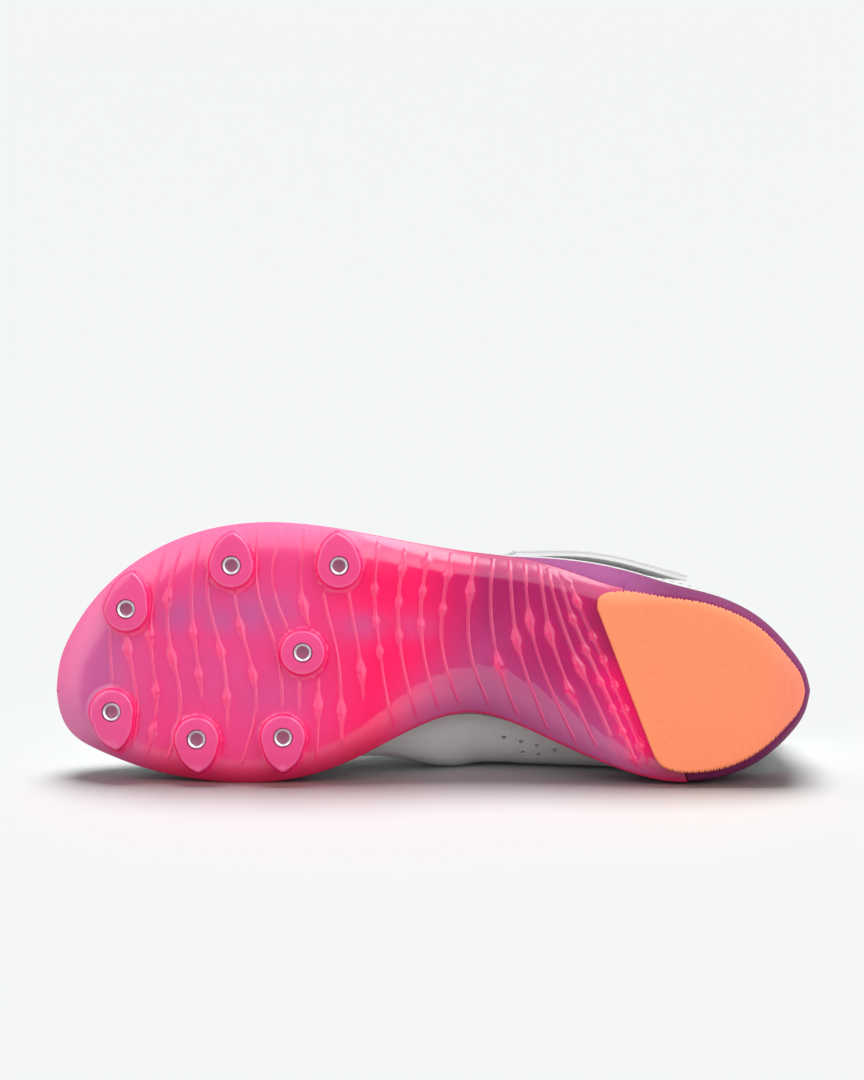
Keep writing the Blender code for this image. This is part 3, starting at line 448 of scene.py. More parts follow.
# Lamps far away: the stage's strength for each, the direction that it shines from, its width in degrees, and
# whether it lights the floor alone or all but the floor.
LAMPS = {
    "floor_lamp": ("floor_light", (0.0, 0.42, 1.0), 36.0, True),
    "top_softbox": ("top_light", (0.0, -0.03, 1.0), 110.0, False),
    "left_softbox": ("left_light", (-0.72, -0.42, 0.55), 70.0, False),
    "right_softbox": ("right_light", (0.72, -0.42, 0.55), 70.0, False),
    "rear_softbox": ("rear_light", (0.42, 0.32, 0.87), 40.0, False),
}
LAMP_DISTANCE = 3.0
FLOOR_GAP = 0.02
SURROUND_TURN = (-0.95, -0.55)
CAMERA_REACH = 100.0


def srgb(red, green, blue):
    """A screen colour, 0 to 255, as the linear colour that a shader takes."""
    shares = (value / 255 for value in (red, green, blue))
    return (*(s / 12.92 if s <= 0.04045 else ((s + 0.055) / 1.055)**2.4 for s in shares), 1.0)


def length(name, description, default):
    """A size, given in millimetres."""
    return bpy.props.FloatProperty(name=name, description=description, default=default * MM, unit="LENGTH",
                                   precision=5)


def amount(name, description, default, unit="NONE"):
    return bpy.props.FloatProperty(name=name, description=description, default=default, unit=unit)


def colour(name, description, *screen):
    """A colour of a finish, given as on a screen."""
    return bpy.props.FloatVectorProperty(name=name, description=description, default=srgb(*screen), size=4,
                                         min=0, max=1, subtype="COLOR")


class SpikeSizes(bpy.types.PropertyGroup):
    """Sizes of the surface detail."""

    rib_height: length("Rib height", "How far a rib stands off the plate", 0.55)
    rib_half: length("Rib half width", "Half the width of a rib at its foot", 0.52)
    stud_height: length("Stud height", "How far a diamond stud stands off the plate", 1.0)
    stud_half: length("Stud half width", "Half the width of a diamond stud", 2.3)
    stud_reach: length("Stud half length", "Half the length of a diamond stud along its rib", 6.8)
    pillow: length("Pillow", "How far the plate swells between two ribs", 0.12)
    dome: length("Dome", "How far it swells more along the arch", 0.3)
    pod_edge: length("Pod edge", "Radius of the edge round a spike pod's face", 0.9)
    pod_foot: length("Pod foot", "Height of the soft ring where a pod meets the plate", 0.35)
    tread_pitch: length("Tread pitch", "Distance between the heel pad's small studs", 3.0)
    tread_half: length("Tread stud half width", "Half the width of a small stud", 0.8)
    tread_height: length("Tread stud height", "How far a small stud stands off the pad", 0.1)
    tooth_depth: length("Tooth depth", "Depth of the pad's toothed edge", 0.9)
    overlay: length("Overlay", "How far the upper's overlays stand off its wall", 0.45)
    crease: length("Crease depth", "Depth of the soft creases where the shoe bends", 0.7)
    stitch: length("Stitch length", "Length of one stitch", 2.2)
    weave: length("Weave pitch", "Distance between threads of the upper", 0.9)


class SpikeColours(bpy.types.PropertyGroup):
    """Colours of the finishes."""

    toe: colour("Toe", "Plate at the toe", 206, 96, 150)
    forefoot: colour("Forefoot", "Plate under the forefoot", 234, 68, 132)
    ball: colour("Ball", "Plate behind the ball", 252, 30, 98)
    waist: colour("Waist", "Plate at the waist", 174, 34, 98)
    rear: colour("Rear", "Plate in front of the heel pad", 186, 40, 100)
    # Milky clouds, the toe's mauve and a painted reflection of the floor along the arch.
    cloud_and_reflection: colour("Cloud", "Milky clouds, toe and arch", 190, 92, 152)
    # Painted light: the wells' floors are lighter than the deep holes would be lit.
    well: colour("Well", "Floors of the spike wells", 255, 150, 190)
    face: colour("Pod face", "Flat faces of the spike pods", 236, 82, 142)
    glow: colour("Glow", "Ribs, pod walls and the plate beside the pad", 251, 24, 112)
    # Painted shade on the inner rim of the forefoot, which faces down.
    deep: colour("Deep edge", "Inner rim of the forefoot", 220, 14, 76)
    # Painted sheen on the outer rim of the forefoot, which faces up to the light.
    pale: colour("Pale edge", "Outer rim of the forefoot", 255, 104, 160)
    foam: colour("Foam", "Midsole foam beside the plate", 138, 52, 114)
    # Painted shade: the foam round the heel is darker.
    foam_heel_shade: colour("Heel foam", "Midsole foam round the heel", 112, 10, 80)
    foam_fleck: colour("Foam fleck", "Light grains in the foam", 172, 96, 150)
    pad: colour("Heel pad", "Heel pad rubber", 253, 143, 96)
    # Darker towards the back of the heel pad, unevenly.
    pad_back_tone: colour("Heel pad shade", "Worn rubber at the back of the heel", 240, 132, 104)
    cloth: colour("Upper", "Textile of the upper", 210, 210, 209)
    overlay: colour("Overlay", "Film overlays of the upper", 206, 206, 206)
    lining: colour("Lining", "Inside of the upper", 196, 197, 198)
    strap: colour("Strap", "Cloth of the strap", 224, 225, 226)
    layer: colour("Strap layer", "Middle layer of the strap", 160, 164, 166)
    lace: colour("Lace", "Lace cord", 222, 222, 220)
    insole: colour("Insole", "Inner sole", 150, 88, 140)
    steel: colour("Steel", "Spike sleeves and eyelets", 222, 223, 226)
    floor: colour("Floor", "Studio floor", 244, 246, 246)


class SpikeStage(bpy.types.PropertyGroup):
    """Camera and light."""

    distance: amount("Camera distance", "From the sole to the camera", 2.6, "LENGTH")
    floor_size: amount("Floor size", "Half the side of the floor", 12.0, "LENGTH")
    floor_light: amount("Floor light", "Strength of the lamp over the floor", 2.8)
    top_light: amount("Top light", "Strength of the softbox over the shoe", 2.1)
    left_light: amount("Left light", "Strength of the softbox on the toe's side", 1.1)
    right_light: amount("Right light", "Strength of the softbox on the heel's side", 1.4)
    rear_light: amount("Rear light", "Strength of the softbox on the outer rim sheen", 1.4)
    surround: amount("Surround", "Brightness of the walls", 0.2)
    front_surround: amount("Front surround", "Brightness behind the camera", 0.1)


# Curves and surfaces of the shoe

def column(table, columns, name):
    """One named column of a table, as an array."""
    return np.array([row[columns.index(name)] for row in table], float)


def cubic(knots, values, at, period=None):
    """A natural or, with a period, closed cubic curve through values at knots."""
    knots, values = np.asarray(knots, float), np.asarray(values, float)
    if period:
        knots, values = np.append(knots, knots[0] + period), np.append(values, values[0])
        at = (np.asarray(at, float) - knots[0]) % period + knots[0]
    count = len(knots)
    step, rise = np.diff(knots), np.diff(values)
    system, right = np.zeros((count, count)), np.zeros(count)
    for i in range(1, count - 1):
        system[i, i - 1:i + 2] = step[i - 1], 2 * (step[i - 1] + step[i]), step[i]
        right[i] = 6 * (rise[i] / step[i] - rise[i - 1] / step[i - 1])
    if period:
        system[0, [0, 1, -2]] = 2 * (step[0] + step[-1]), step[0], step[-1]
        right[0] = 6 * (rise[0] / step[0] - rise[-1] / step[-1])
        system[-1, [0, -1]] = 1, -1
    else:
        system[0, 0] = system[-1, -1] = 1
    bend = np.linalg.solve(system, right)
    at = np.clip(np.asarray(at, float), knots[0], knots[-1])
    i = np.clip(np.searchsorted(knots, at) - 1, 0, count - 2)
    before, after = at - knots[i], knots[i + 1] - at
    return ((bend[i] * after**3 + bend[i + 1] * before**3) / (6 * step[i])
            + (values[i] / step[i] - bend[i] * step[i] / 6) * after
            + (values[i + 1] / step[i] - bend[i + 1] * step[i] / 6) * before)


def profile(name, x):
    return cubic(column(PROFILE, PROFILE_COLUMNS, "x"), column(PROFILE, PROFILE_COLUMNS, name), x)


def run_along(points):
    """How far along a line each of its points lies."""
    return np.append(0, np.cumsum(np.linalg.norm(np.diff(points, axis=0), axis=-1)))


def path(points, at):
    """Places at shares of the length of a smooth plan curve through points."""
    points = np.asarray(points, float)
    chord = run_along(points)
    fine = np.linspace(0, chord[-1], CURVE_STEPS)
    curve = np.stack([cubic(chord, points[:, k], fine) for k in (0, 1)], axis=1)
    run = run_along(curve)
    return np.stack([np.interp(np.asarray(at) * run[-1], run, curve[:, k]) for k in (0, 1)], axis=-1)


def branch(line, side):
    """The points of one side of an outline, from the toe's tip to the heel's."""
    sides = zip(column(OUTLINE, OUTLINE_COLUMNS, "x"), column(OUTLINE, OUTLINE_COLUMNS, f"{line}_{side}"))
    return [TOE_TIP[line], *sides, HEEL_TIP[line]]


def share_at(points, x):
    """The share of a branch's length at which it passes x."""
    shares = np.linspace(0, 1, SHARE_STEPS)
    return float(np.interp(-x, -path(points, shares)[:, 0], shares))


def outline(line, count=240):
    """The closed outline, from the toe by the outer side and the heel."""
    at = np.linspace(0, 1, count)
    return np.concatenate([path(branch(line, "outer"), at), path(branch(line, "inner"), at)[::-1]])


EDGE, FEATHER = outline("edge"), outline("feather")


def line_distance(line, x, y):
    """How far places lie from a closed line, and whether its first half is the nearer one."""
    places = np.stack([x, y], axis=-1).reshape(-1, 2)
    apart, first_half = np.empty(len(places)), np.empty(len(places), bool)
    for start in range(0, len(places), BATCH):
        some = places[start:start + BATCH]
        near = ((some[:, None] - line[None])**2).sum(-1).argmin(1)
        best = np.full(len(some), np.inf)
        for back in (1, 0):
            begin, end = line[(near - back) % len(line)], line[(near - back + 1) % len(line)]
            way = end - begin
            share = ((some - begin) * way).sum(1) / np.maximum((way**2).sum(1), 1e-9)
            foot = begin + way * np.clip(share, 0, 1)[:, None]
            best = np.minimum(best, np.hypot(*(some - foot).T))
        apart[start:start + BATCH] = best
        first_half[start:start + BATCH] = near < len(line) // 2
    return apart.reshape(np.shape(x)), first_half.reshape(np.shape(x))


def rim_distance(x, y):
    """How far places lie from the sole's rim, and how far they belong to its outer side."""
    apart, outer = line_distance(EDGE, x, y)
    toe = smooth((y - TOE_TIP["edge"][1]) / TOE_BLEND_WIDTH + 0.5)
    return apart, np.where(x > TOE_BLEND_X, toe, outer)


def underside(x, y):
    """Height of the plate's lower face, whose rim turns up."""
    x, y = np.asarray(x, float), np.asarray(y, float)
    apart, side = rim_distance(x, y)
    width = profile("inner_roll", x) * (1 - side) + profile("outer_roll", x) * side
    turned = np.clip(1 - apart / width, 0, 1)
    return profile("underside", x) + profile("roll", x) * turned**ROLL_POWER


def bed(x, y):
    """Height of the midsole's top, dished under the foot."""
    x, y = np.asarray(x, float), np.asarray(y, float)
    apart = line_distance(FEATHER, x, y)[0]
    inside = np.clip(1 - (apart - UPPER_WALL - CURVED_GAP) / DISH_WIDTH, 0, 1)
    return profile("rim", x) - BED_DISH * (1 - inside**2)


def eased(count, start=1.0, end=1.0):
    """Shares from 0 to 1, closer together at an end whose weight is over 1."""
    t = np.linspace(0, 1, count)
    return t**start * (1 - t) + (1 - (1 - t)**end) * t


def smooth(t):
    """A soft step from 0 to 1."""
    t = np.clip(t, 0, 1)
    return t * t * (3 - 2 * t)


def soft_step(value, start, end):
    """A soft step from 0 at a start to 1 at an end, which may lie below the start."""
    return smooth((value - start) / (end - start))


def stretch(value, start, full, fade, end):
    """A soft rise from start to full, and a soft fall from fade to end."""
    return soft_step(value, start, full) * soft_step(value, end, fade)


def unit(vectors):
    """Vectors brought to a length of 1."""
    return vectors / np.maximum(np.linalg.norm(vectors, axis=-1, keepdims=True), 1e-9)


def between(start, end, across):
    """Points at shares of straight lines from a start to an end, for each row."""
    return start * (1 - across)[None, :, None] + end * across[None, :, None]


def raised(plan, height):
    return np.concatenate([plan, np.asarray(height)[..., None]], axis=-1)


def ruled(inner, outer, along, across):
    """Plan points on straight lines from an inner to an outer branch."""
    return between(path(inner, along)[:, None], path(outer, along)[:, None], across)


def drawn_in(points, side, inset):
    """A branch moved inwards, square to itself and straight back from its two tips."""
    line = path(points, np.linspace(0, 1, INSET_STEPS))
    way = np.gradient(line, axis=0)
    way[0] = way[-1] = (0, 1) if side == "outer" else (0, -1)
    way[-1] *= -1
    turn = 1 if side == "outer" else -1
    return line + inset * turn * unit(np.stack([-way[:, 1], way[:, 0]], axis=1))


def wall_directions(rows):
    """For each row, the level ways out of its inner and outer end."""
    along = np.gradient(rows[:, [0, -1], :2], axis=0)
    out = unit(np.stack([along[..., 1], -along[..., 0]], axis=-1))
    out[:, 0] *= -1
    out[0], out[-1] = (1, 0), (-1, 0)
    return np.concatenate([out, np.zeros((*out.shape[:2], 1))], axis=-1)


def pod_frame(pod):
    """Where a pod's face sits, and the turn that squares it to the sole along the shoe."""
    x, y = pod[:2]
    rise = profile("underside", x + POD_LEAN_SPAN) - profile("underside", x - POD_LEAN_SPAN)
    lean = math.atan2(float(rise), 2 * POD_LEAN_SPAN)
    centre = Matrix.Translation((x, y, float(profile("underside", x))))
    return centre @ Matrix.Rotation(-lean, 4, "Y") @ Matrix.Translation((0, 0, -POD_HEIGHT))


def pod_reach(pod, angle):
    """Radius of a pod's face at an angle: a circle drawn out to a blunt tail."""
    tail_angle, tail_length = pod[2:]
    away = np.abs((angle - math.radians(tail_angle) + math.pi) % (2 * math.pi) - math.pi)
    tail = np.clip(1 - away / TAIL_SPREAD, 0, 1)**TAIL_POWER
    return POD_RADIUS + (max(tail_length, POD_RADIUS) - POD_RADIUS) * tail


def shoe_matrix():
    """Where the shoe's frame lies on the floor, from the centres of its seven spike sleeves."""
    middle = Vector((0, 0, SLEEVE_RECESS + SLEEVE_LENGTH / 2))
    own = np.array([pod_frame(pod) @ middle for pod in PODS])
    boxes = [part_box(f"spike_insert_{number}") for number in range(1, len(PODS) + 1)]
    found = np.array([(low + high) / 2 for low, high in boxes]) / MM
    left, _, right = np.linalg.svd((found - found.mean(0)).T @ (own - own.mean(0)))
    turn = left @ np.diag([1, 1, np.linalg.det(left @ right)]) @ right
    shift = found.mean(0) - turn @ own.mean(0)
    miss = np.abs(own @ turn.T + shift - found).max()
    if miss > SEAT_TOLERANCE:
        raise RuntimeError(f"the spike sleeves lie {miss:.2f} mm from where the shoe's sizes put them")
    matrix = Matrix.Identity(4)
    for row in range(3):
        matrix[row][:3] = turn[row] * MM
        matrix[row][3] = shift[row] * MM
    return matrix


SHOE = shoe_matrix()


# Meshes

def draped_grid(points, closed=False, sheet=None):
    """A bmesh grid with its corners moved to an array of points, its second way round closed or not.

    sheet gives the cloth's own place of each point, in millimetres, as a UV map.
    """
    if closed:
        points = np.concatenate([points, points[:, :1]], axis=1)
    rows, across = points.shape[:2]
    bm = bmesh.new()
    bmesh.ops.create_grid(bm, x_segments=rows - 1, y_segments=across - 1, size=1)
    places = {}
    for vert in bm.verts:
        place = (round((vert.co.x + 1) / 2 * (rows - 1)), round((vert.co.y + 1) / 2 * (across - 1)))
        places[vert.index] = place
        vert.co = points[place]
    if sheet is not None:
        cloth = bm.loops.layers.uv.new("cloth")
        for face in bm.faces:
            for loop in face.loops:
                loop[cloth].uv = sheet[places[loop.vert.index]] / SHEET_UNIT
    bmesh.ops.remove_doubles(bm, verts=bm.verts, dist=MERGE)
    return bm


def face_outwards(bm):
    bmesh.ops.recalc_face_normals(bm, faces=bm.faces)
    if bm.calc_volume(signed=True) < 0:
        bmesh.ops.reverse_faces(bm, faces=bm.faces)


def lofted(lower, upper, wall=(), sheet=None):
    """A closed bmesh between a lower and an upper grid of points, with loops of a wall between their rims."""
    inner_wall = [lower[:, 0] * (1 - t) + upper[:, 0] * t + out[:, 0] for t, out in wall]
    outer_wall = [lower[:, -1] * (1 - t) + upper[:, -1] * t + out[:, 1] for t, out in wall]
    loops = [*lower.transpose(1, 0, 2), *outer_wall, *upper.transpose(1, 0, 2)[::-1], *inner_wall[::-1]]
    bm = draped_grid(np.stack(loops, axis=1), closed=True, sheet=sheet)
    open_edges = [edge for edge in bm.edges if edge.is_boundary]
    if open_edges:
        caps = bmesh.ops.holes_fill(bm, edges=open_edges)["faces"]
        bmesh.ops.triangulate(bm, faces=caps)
    bmesh.ops.dissolve_degenerate(bm, edges=bm.edges, dist=MERGE)
    face_outwards(bm)
    return bm


def turned_ring(section, steps, place):
    """A closed section of radii and heights turned about an axis, and set in its place."""
    bm = bmesh.new()
    verts = [bm.verts.new((radius, 0, z)) for radius, z in section]
    edges = [bm.edges.new(pair) for pair in zip(verts, verts[1:] + verts[:1])]
    bmesh.ops.spin(bm, geom=verts + edges, cent=(0, 0, 0), axis=(0, 0, 1), angle=2 * math.pi, steps=steps,
                   use_merge=True)
    bmesh.ops.remove_doubles(bm, verts=bm.verts, dist=RING_MERGE)
    bmesh.ops.transform(bm, matrix=place, verts=bm.verts)
    face_outwards(bm)
    return bm


def joined(*forms):
    """One bmesh that holds several."""
    whole = bmesh.new()
    for form in forms:
        mesh = bpy.data.meshes.new("form")
        form.to_mesh(mesh)
        form.free()
        whole.from_mesh(mesh)
        bpy.data.meshes.remove(mesh)
    return whole


def held(bm):
    """An object for a bmesh while modifiers work on it."""
    mesh = bpy.data.meshes.new("form")
    bm.to_mesh(mesh)
    bm.free()
    obj = bpy.data.objects.new("form", mesh)
    bpy.context.scene.collection.objects.link(obj)
    return obj


def shaped(bm, modifiers):
    """A bmesh after modifiers, each a kind and its settings; a bmesh among these is held as an object."""
    base = held(bm)
    helpers = [base]
    for kind, settings in modifiers:
        modifier = base.modifiers.new(kind.lower(), kind)
        for name, value in settings.items():
            if isinstance(value, bmesh.types.BMesh):
                value = held(value)
                helpers.append(value)
            setattr(modifier, name, value)
    graph = bpy.context.evaluated_depsgraph_get()
    mesh = bpy.data.meshes.new_from_object(base.evaluated_get(graph))
    for helper in helpers:
        bpy.data.objects.remove(helper)
    result = bmesh.new()
    result.from_mesh(mesh)
    return result


def corners(bm):
    return np.array([vert.co for vert in bm.verts])


def make_piece(name, bm, paints, nodes=(), marks=None, sharp=40.0):
    """Lays a form on the floor as a piece of the shoe that stands for nodes of the frame."""
    bmesh.ops.transform(bm, matrix=SHOE, verts=bm.verts)
    mesh = bpy.data.meshes.new(name)
    bm.to_mesh(mesh)
    bm.free()
    mesh.shade_smooth()
    mesh.set_sharp_from_angle(angle=math.radians(sharp))
    mesh.materials.clear()
    for paint in paints:
        mesh.materials.append(paint)
    for mark, values in (marks or {}).items():
        attribute = mesh.attributes.new(mark, "FLOAT", "POINT")
        attribute.data.foreach_set("value", np.asarray(values, np.float32))
    piece = bpy.data.objects.new(name, mesh)
    bpy.context.scene.collection.objects.link(piece)
    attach(piece, "root")
    if nodes:
        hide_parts(*nodes)
    return piece


# Finishes

def connect(tree, made, inputs):
    """Links a node's inputs to sockets, or sets them to values."""
    for socket, value in inputs.items():
        if isinstance(value, bpy.types.NodeSocket):
            tree.links.new(value, made.inputs[socket])
        else:
            made.inputs[socket].default_value = value


def node(tree, kind, inputs=None, **settings):
    """A shader node with its settings, and its inputs linked or set."""
    made = tree.nodes.new(f"ShaderNode{kind}")
    for name, value in settings.items():
        setattr(made, name, value)
    connect(tree, made, inputs or {})
    return made


def maths(tree, operation, *values):
    return node(tree, "Math", dict(enumerate(values)), operation=operation).outputs[0]


def ranged(tree, share, low, high):
    """A share from 0 to 1 laid out from low to high."""
    return maths(tree, "MULTIPLY_ADD", share, high - low, low)


def blended(tree, share, first, second, **settings):
    """A colour between two."""
    return node(tree, "Mix", {0: share, 6: first, 7: second}, data_type="RGBA", **settings).outputs[2]


def toned(tree, tint, tone):
    """A colour times a tone."""
    return blended(tree, 1.0, tint, tone, blend_type="MULTIPLY")


def mark_of(tree, name):
    return node(tree, "Attribute", attribute_name=name).outputs["Fac"]


def grain(tree, scale, detail=3.0, roughness=0.55):
    """Noise on the piece's own place, with its scale a metre."""
    place = node(tree, "TexCoord").outputs["Object"]
    return node(tree, "TexNoise", {"Vector": place, "Scale": scale, "Detail": detail,
                                   "Roughness": roughness}).outputs["Fac"]


def bumped(tree, height, distance, strength=1.0):
    """A normal from a height, whose whole range is a distance in millimetres."""
    return node(tree, "Bump", {"Height": height, "Distance": distance * MM, "Strength": strength}).outputs[0]


def finish(name, **constants):
    """A material, its tree and its shader, with constants set on the shader's sockets."""
    paint = bpy.data.materials.new(name)
    paint.use_nodes = True
    tree = paint.node_tree
    shader = tree.nodes["Principled BSDF"]
    connect(tree, shader, {socket.replace("_", " "): value for socket, value in constants.items()})
    return paint, tree, shader


def plate_finish(colours):
    """Glossy tinted plastic, deeper where thick, with painted glow at ribs, studs, pod walls and beside the
    pad.
    """
    paint, tree, shader = finish("tinted plate", IOR=1.7)
    ramp = node(tree, "ValToRGB", {"Fac": mark_of(tree, "along")})
    elements = ramp.color_ramp.elements
    while len(elements) < len(PLATE_TINTS):
        elements.new(0.5)
    for element, (place, name) in zip(elements, reversed(PLATE_TINTS)):
        element.position = place
        element.color = getattr(colours, name)
    uneven = ranged(tree, grain(tree, 60.0, 1.0), 0.3, 1.5)
    milky = maths(tree, "MULTIPLY", uneven, mark_of(tree, "milky"))
    tint = blended(tree, milky, ramp.outputs["Color"], colours.cloud_and_reflection)
    for mark, name in PLATE_MARKS.items():
        tint = blended(tree, mark_of(tree, mark), tint, getattr(colours, name))
    tint = toned(tree, tint, ranged(tree, grain(tree, 55.0, 2.0), 0.93, 1.07))
    rough = ranged(tree, grain(tree, 260.0), 0.05, 0.11)
    rough = maths(tree, "MULTIPLY_ADD", mark_of(tree, "matt"), 0.42, rough)
    connect(tree, shader, {"Base Color": tint, "Roughness": rough})
    return paint


def foam_finish(colours):
    """Soft moulded foam with a fine pebbled skin, painted darker with fewer light flecks towards the heel, as
    shade.
    """
    paint, tree, shader = finish("purple foam", Specular_IOR_Level=0.25, Sheen_Weight=0.05)
    fleck = maths(tree, "POWER", grain(tree, 1500.0, 4.0, 0.7), 2.2)
    heel = mark_of(tree, "heel")
    light = maths(tree, "MULTIPLY", fleck, ranged(tree, heel, 1.2, 0.4))
    tint = blended(tree, light, blended(tree, heel, colours.foam, colours.foam_heel_shade), colours.foam_fleck)
    connect(tree, shader, {"Base Color": tint, "Roughness": ranged(tree, grain(tree, 700.0), 0.5, 0.75),
                           "Normal": bumped(tree, grain(tree, 1300.0, 4.0, 0.6), 0.25)})
    return paint


def rubber_finish(colours):
    """Matt heel rubber."""
    paint, tree, shader = finish("orange rubber", Specular_IOR_Level=0.35)
    # Darker towards the back of the heel, unevenly.
    back_tone = maths(tree, "MULTIPLY_ADD", grain(tree, 45.0, 2.0), 0.5, mark_of(tree, "back"))
    tint = blended(tree, back_tone, colours.pad, colours.pad_back_tone)
    connect(tree, shader, {"Base Color": tint, "Roughness": ranged(tree, grain(tree, 500.0), 0.45, 0.65),
                           "Normal": bumped(tree, grain(tree, 2600.0, 2.0), 0.05)})
    return paint


def steel_finish(colours):
    """Turned steel with fine unevenness left by the tool."""
    paint, tree, shader = finish("turned steel", Metallic=1.0, Base_Color=colours.steel)
    connect(tree, shader, {"Roughness": ranged(tree, grain(tree, 1800.0), 0.24, 0.44),
                           "Normal": bumped(tree, grain(tree, 3000.0, 1.0), 0.02)})
    return paint


def threads(tree, pitch):
    """Height of a plain weave on the cloth's own map: warp and weft that pass over each other."""
    cloth = node(tree, "SeparateXYZ", {0: node(tree, "UVMap", uv_map="cloth").outputs[0]})
    turn = 2 * math.pi * SHEET_UNIT * MM / pitch
    waves = [maths(tree, "SINE", maths(tree, "MULTIPLY", cloth.outputs[k], turn)) for k in (0, 1)]
    return maths(tree, "MULTIPLY_ADD", maths(tree, "MULTIPLY", *waves), 0.5, 0.5)


def cloth_finish(name, tint, weave_pitch, overlay=None):
    """Woven cloth; where the mark film is set it is covered with a smooth overlay."""
    paint, tree, shader = finish(name, Sheen_Weight=0.2, Sheen_Roughness=0.4)
    coarse, depth = CLOTHS[name]
    height = threads(tree, weave_pitch * coarse)
    soil = ranged(tree, grain(tree, 60.0), 0.96, 1.04)
    # The weave's low threads are painted darker, as painted shade in its hollows.
    worked = toned(tree, tint, maths(tree, "MULTIPLY", ranged(tree, height, 0.86, 0.98), soil))
    rough = ranged(tree, grain(tree, 900.0), 0.72, 0.87)
    if overlay is not None:
        film = mark_of(tree, "film")
        worked = blended(tree, film, worked, overlay)
        height = maths(tree, "MULTIPLY", height, maths(tree, "SUBTRACT", 1.0, film))
        rough = maths(tree, "MULTIPLY_ADD", film, -0.3, rough)
    connect(tree, shader, {"Base Color": worked, "Roughness": rough, "Normal": bumped(tree, height, depth)})
    return paint


# Sole pieces

def plate_lines(y):
    """x of the toe's tip, of each rib and of the plate's end, at places across the plate."""
    ribs = [cubic(RIB_LEVELS, places, y) for _, places, _ in RIBS]
    (inner_x, inner_y), (outer_x, outer_y) = PLATE_END["inner"], PLATE_END["outer"]
    end = inner_x + (outer_x - inner_x) * (y - inner_y) / (outer_y - inner_y)
    return np.stack([np.full_like(y, LENGTH), *ribs, end - PLATE_OVERRUN])


def plate_plan():
    """Plan points of the plate in rows that follow its ribs, from the toe back, and each row's swell."""
    y = np.arange(*PLATE_LEVELS)
    lines = plate_lines(y)
    rims = []
    for side in ("inner", "outer"):
        rim = path(branch("edge", side), np.linspace(0, 1, RIM_STEPS))
        rims.append(rim[np.argsort(rim[:, 0])])
    across = eased(PLATE_ACROSS, 1.5, 1.5)
    rows, swell = [], []
    for number, (ahead, behind) in enumerate(zip(lines, lines[1:])):
        shares = eased(TIP_ROWS, 2.0, 1.8)
        if number:
            steps = max(LEAST_ROWS, round(float((ahead - behind).mean()) / ROW_STEP))
            t = np.linspace(0, 1, steps + 1)
            shares = t - ROW_CROWDING * np.sin(2 * math.pi * t) / (2 * math.pi)
        last = len(shares) if number == len(lines) - 2 else -1
        for share in shares[:last]:
            x = ahead * (1 - share) + behind * share
            low = first_crossing(y, y - np.interp(x, *rims[0].T))
            high = first_crossing(y[::-1], (np.interp(x, *rims[1].T) - y)[::-1])
            at = low + (high - low) * across
            rows.append(np.stack([np.interp(at, y, x), at], axis=1))
            swell.append(4 * share * (1 - share) if number else 0.0)
    return np.stack(rows), np.array(swell)


def first_crossing(places, values):
    """The first place at which values turn positive."""
    i = max(int(np.argmax(values > 0)), 1)
    share = values[i - 1] / (values[i - 1] - values[i])
    return places[i - 1] + (places[i] - places[i - 1]) * min(max(share, 0.0), 1.0)


def rib_field(x, y, sizes):
    """Height of ribs and studs over the plate, and how far their painted glow covers a place, from 0 to 1."""
    half, stud_half, stud_reach = (size / MM for size in (sizes.rib_half, sizes.stud_half, sizes.stud_reach))
    height, cover = np.zeros_like(x), np.zeros_like(x)
    for runs, places, studs in RIBS:
        line = cubic(RIB_LEVELS, places, y)
        slope = cubic(RIB_LEVELS, places, y + 0.5) - cubic(RIB_LEVELS, places, y - 0.5)
        apart = np.abs(x - line) / np.hypot(1, slope)
        run = sum(stretch(y, inner, inner + RIB_TAPER, outer - RIB_TAPER, outer) for outer, inner in runs)
        ridge = np.clip(1 - (apart / half)**2, 0, 1)**1.5 * run
        height = np.maximum(height, sizes.rib_height / MM * ridge)
        tinted = soft_step(apart, RIB_COVER_END * half, RIB_COVER_FULL * half)
        cover = np.maximum(cover, RIB_COVER * tinted * run)
        for place in studs:
            room = min((abs(place - other) for other in studs if other != place), default=math.inf)
            reach = min(stud_reach, STUD_SHARE * room)
            size = STUD_LEAST + (1 - STUD_LEAST) * reach / stud_reach
            along = np.clip(1 - np.abs(y - place) / reach, 0, 1)
            flank = np.clip(1 - apart / np.maximum(stud_half * size * along, 0.01), 0, 1)
            height = np.maximum(height, sizes.stud_height / MM * size * flank * (1 - (1 - along)**2))
            # A stud's flank towards the heel is painted paler, as lit, and the one towards the toe hotter, as
            # painted shade.
            lit_flank = smooth((line - x) / stud_half + 0.5)
            cover = np.maximum(cover, smooth(flank * 4) * (STUD_COVER - STUD_LIT_FLANK * lit_flank))
            cover = np.maximum(cover, STUD_HALO * np.exp(-(apart / stud_half)**2 - ((y - place) / reach)**2))
        for outer, _ in runs:
            dot = np.clip(1 - np.hypot(apart, y - outer) / RIB_DOT, 0, 1)
            height = np.maximum(height, RIB_DOT * np.sqrt(dot) / 2)
    return height, cover


def pod_share(x, y, spread):
    """1 within a pod's outline grown by a spread, and falling to 0 over as much again."""
    share = np.zeros_like(x)
    for pod in PODS:
        away = np.hypot(x - pod[0], y - pod[1]) - pod_reach(pod, np.arctan2(y - pod[1], x - pod[0]))
        share = np.maximum(share, smooth(2 - away / spread))
    return share


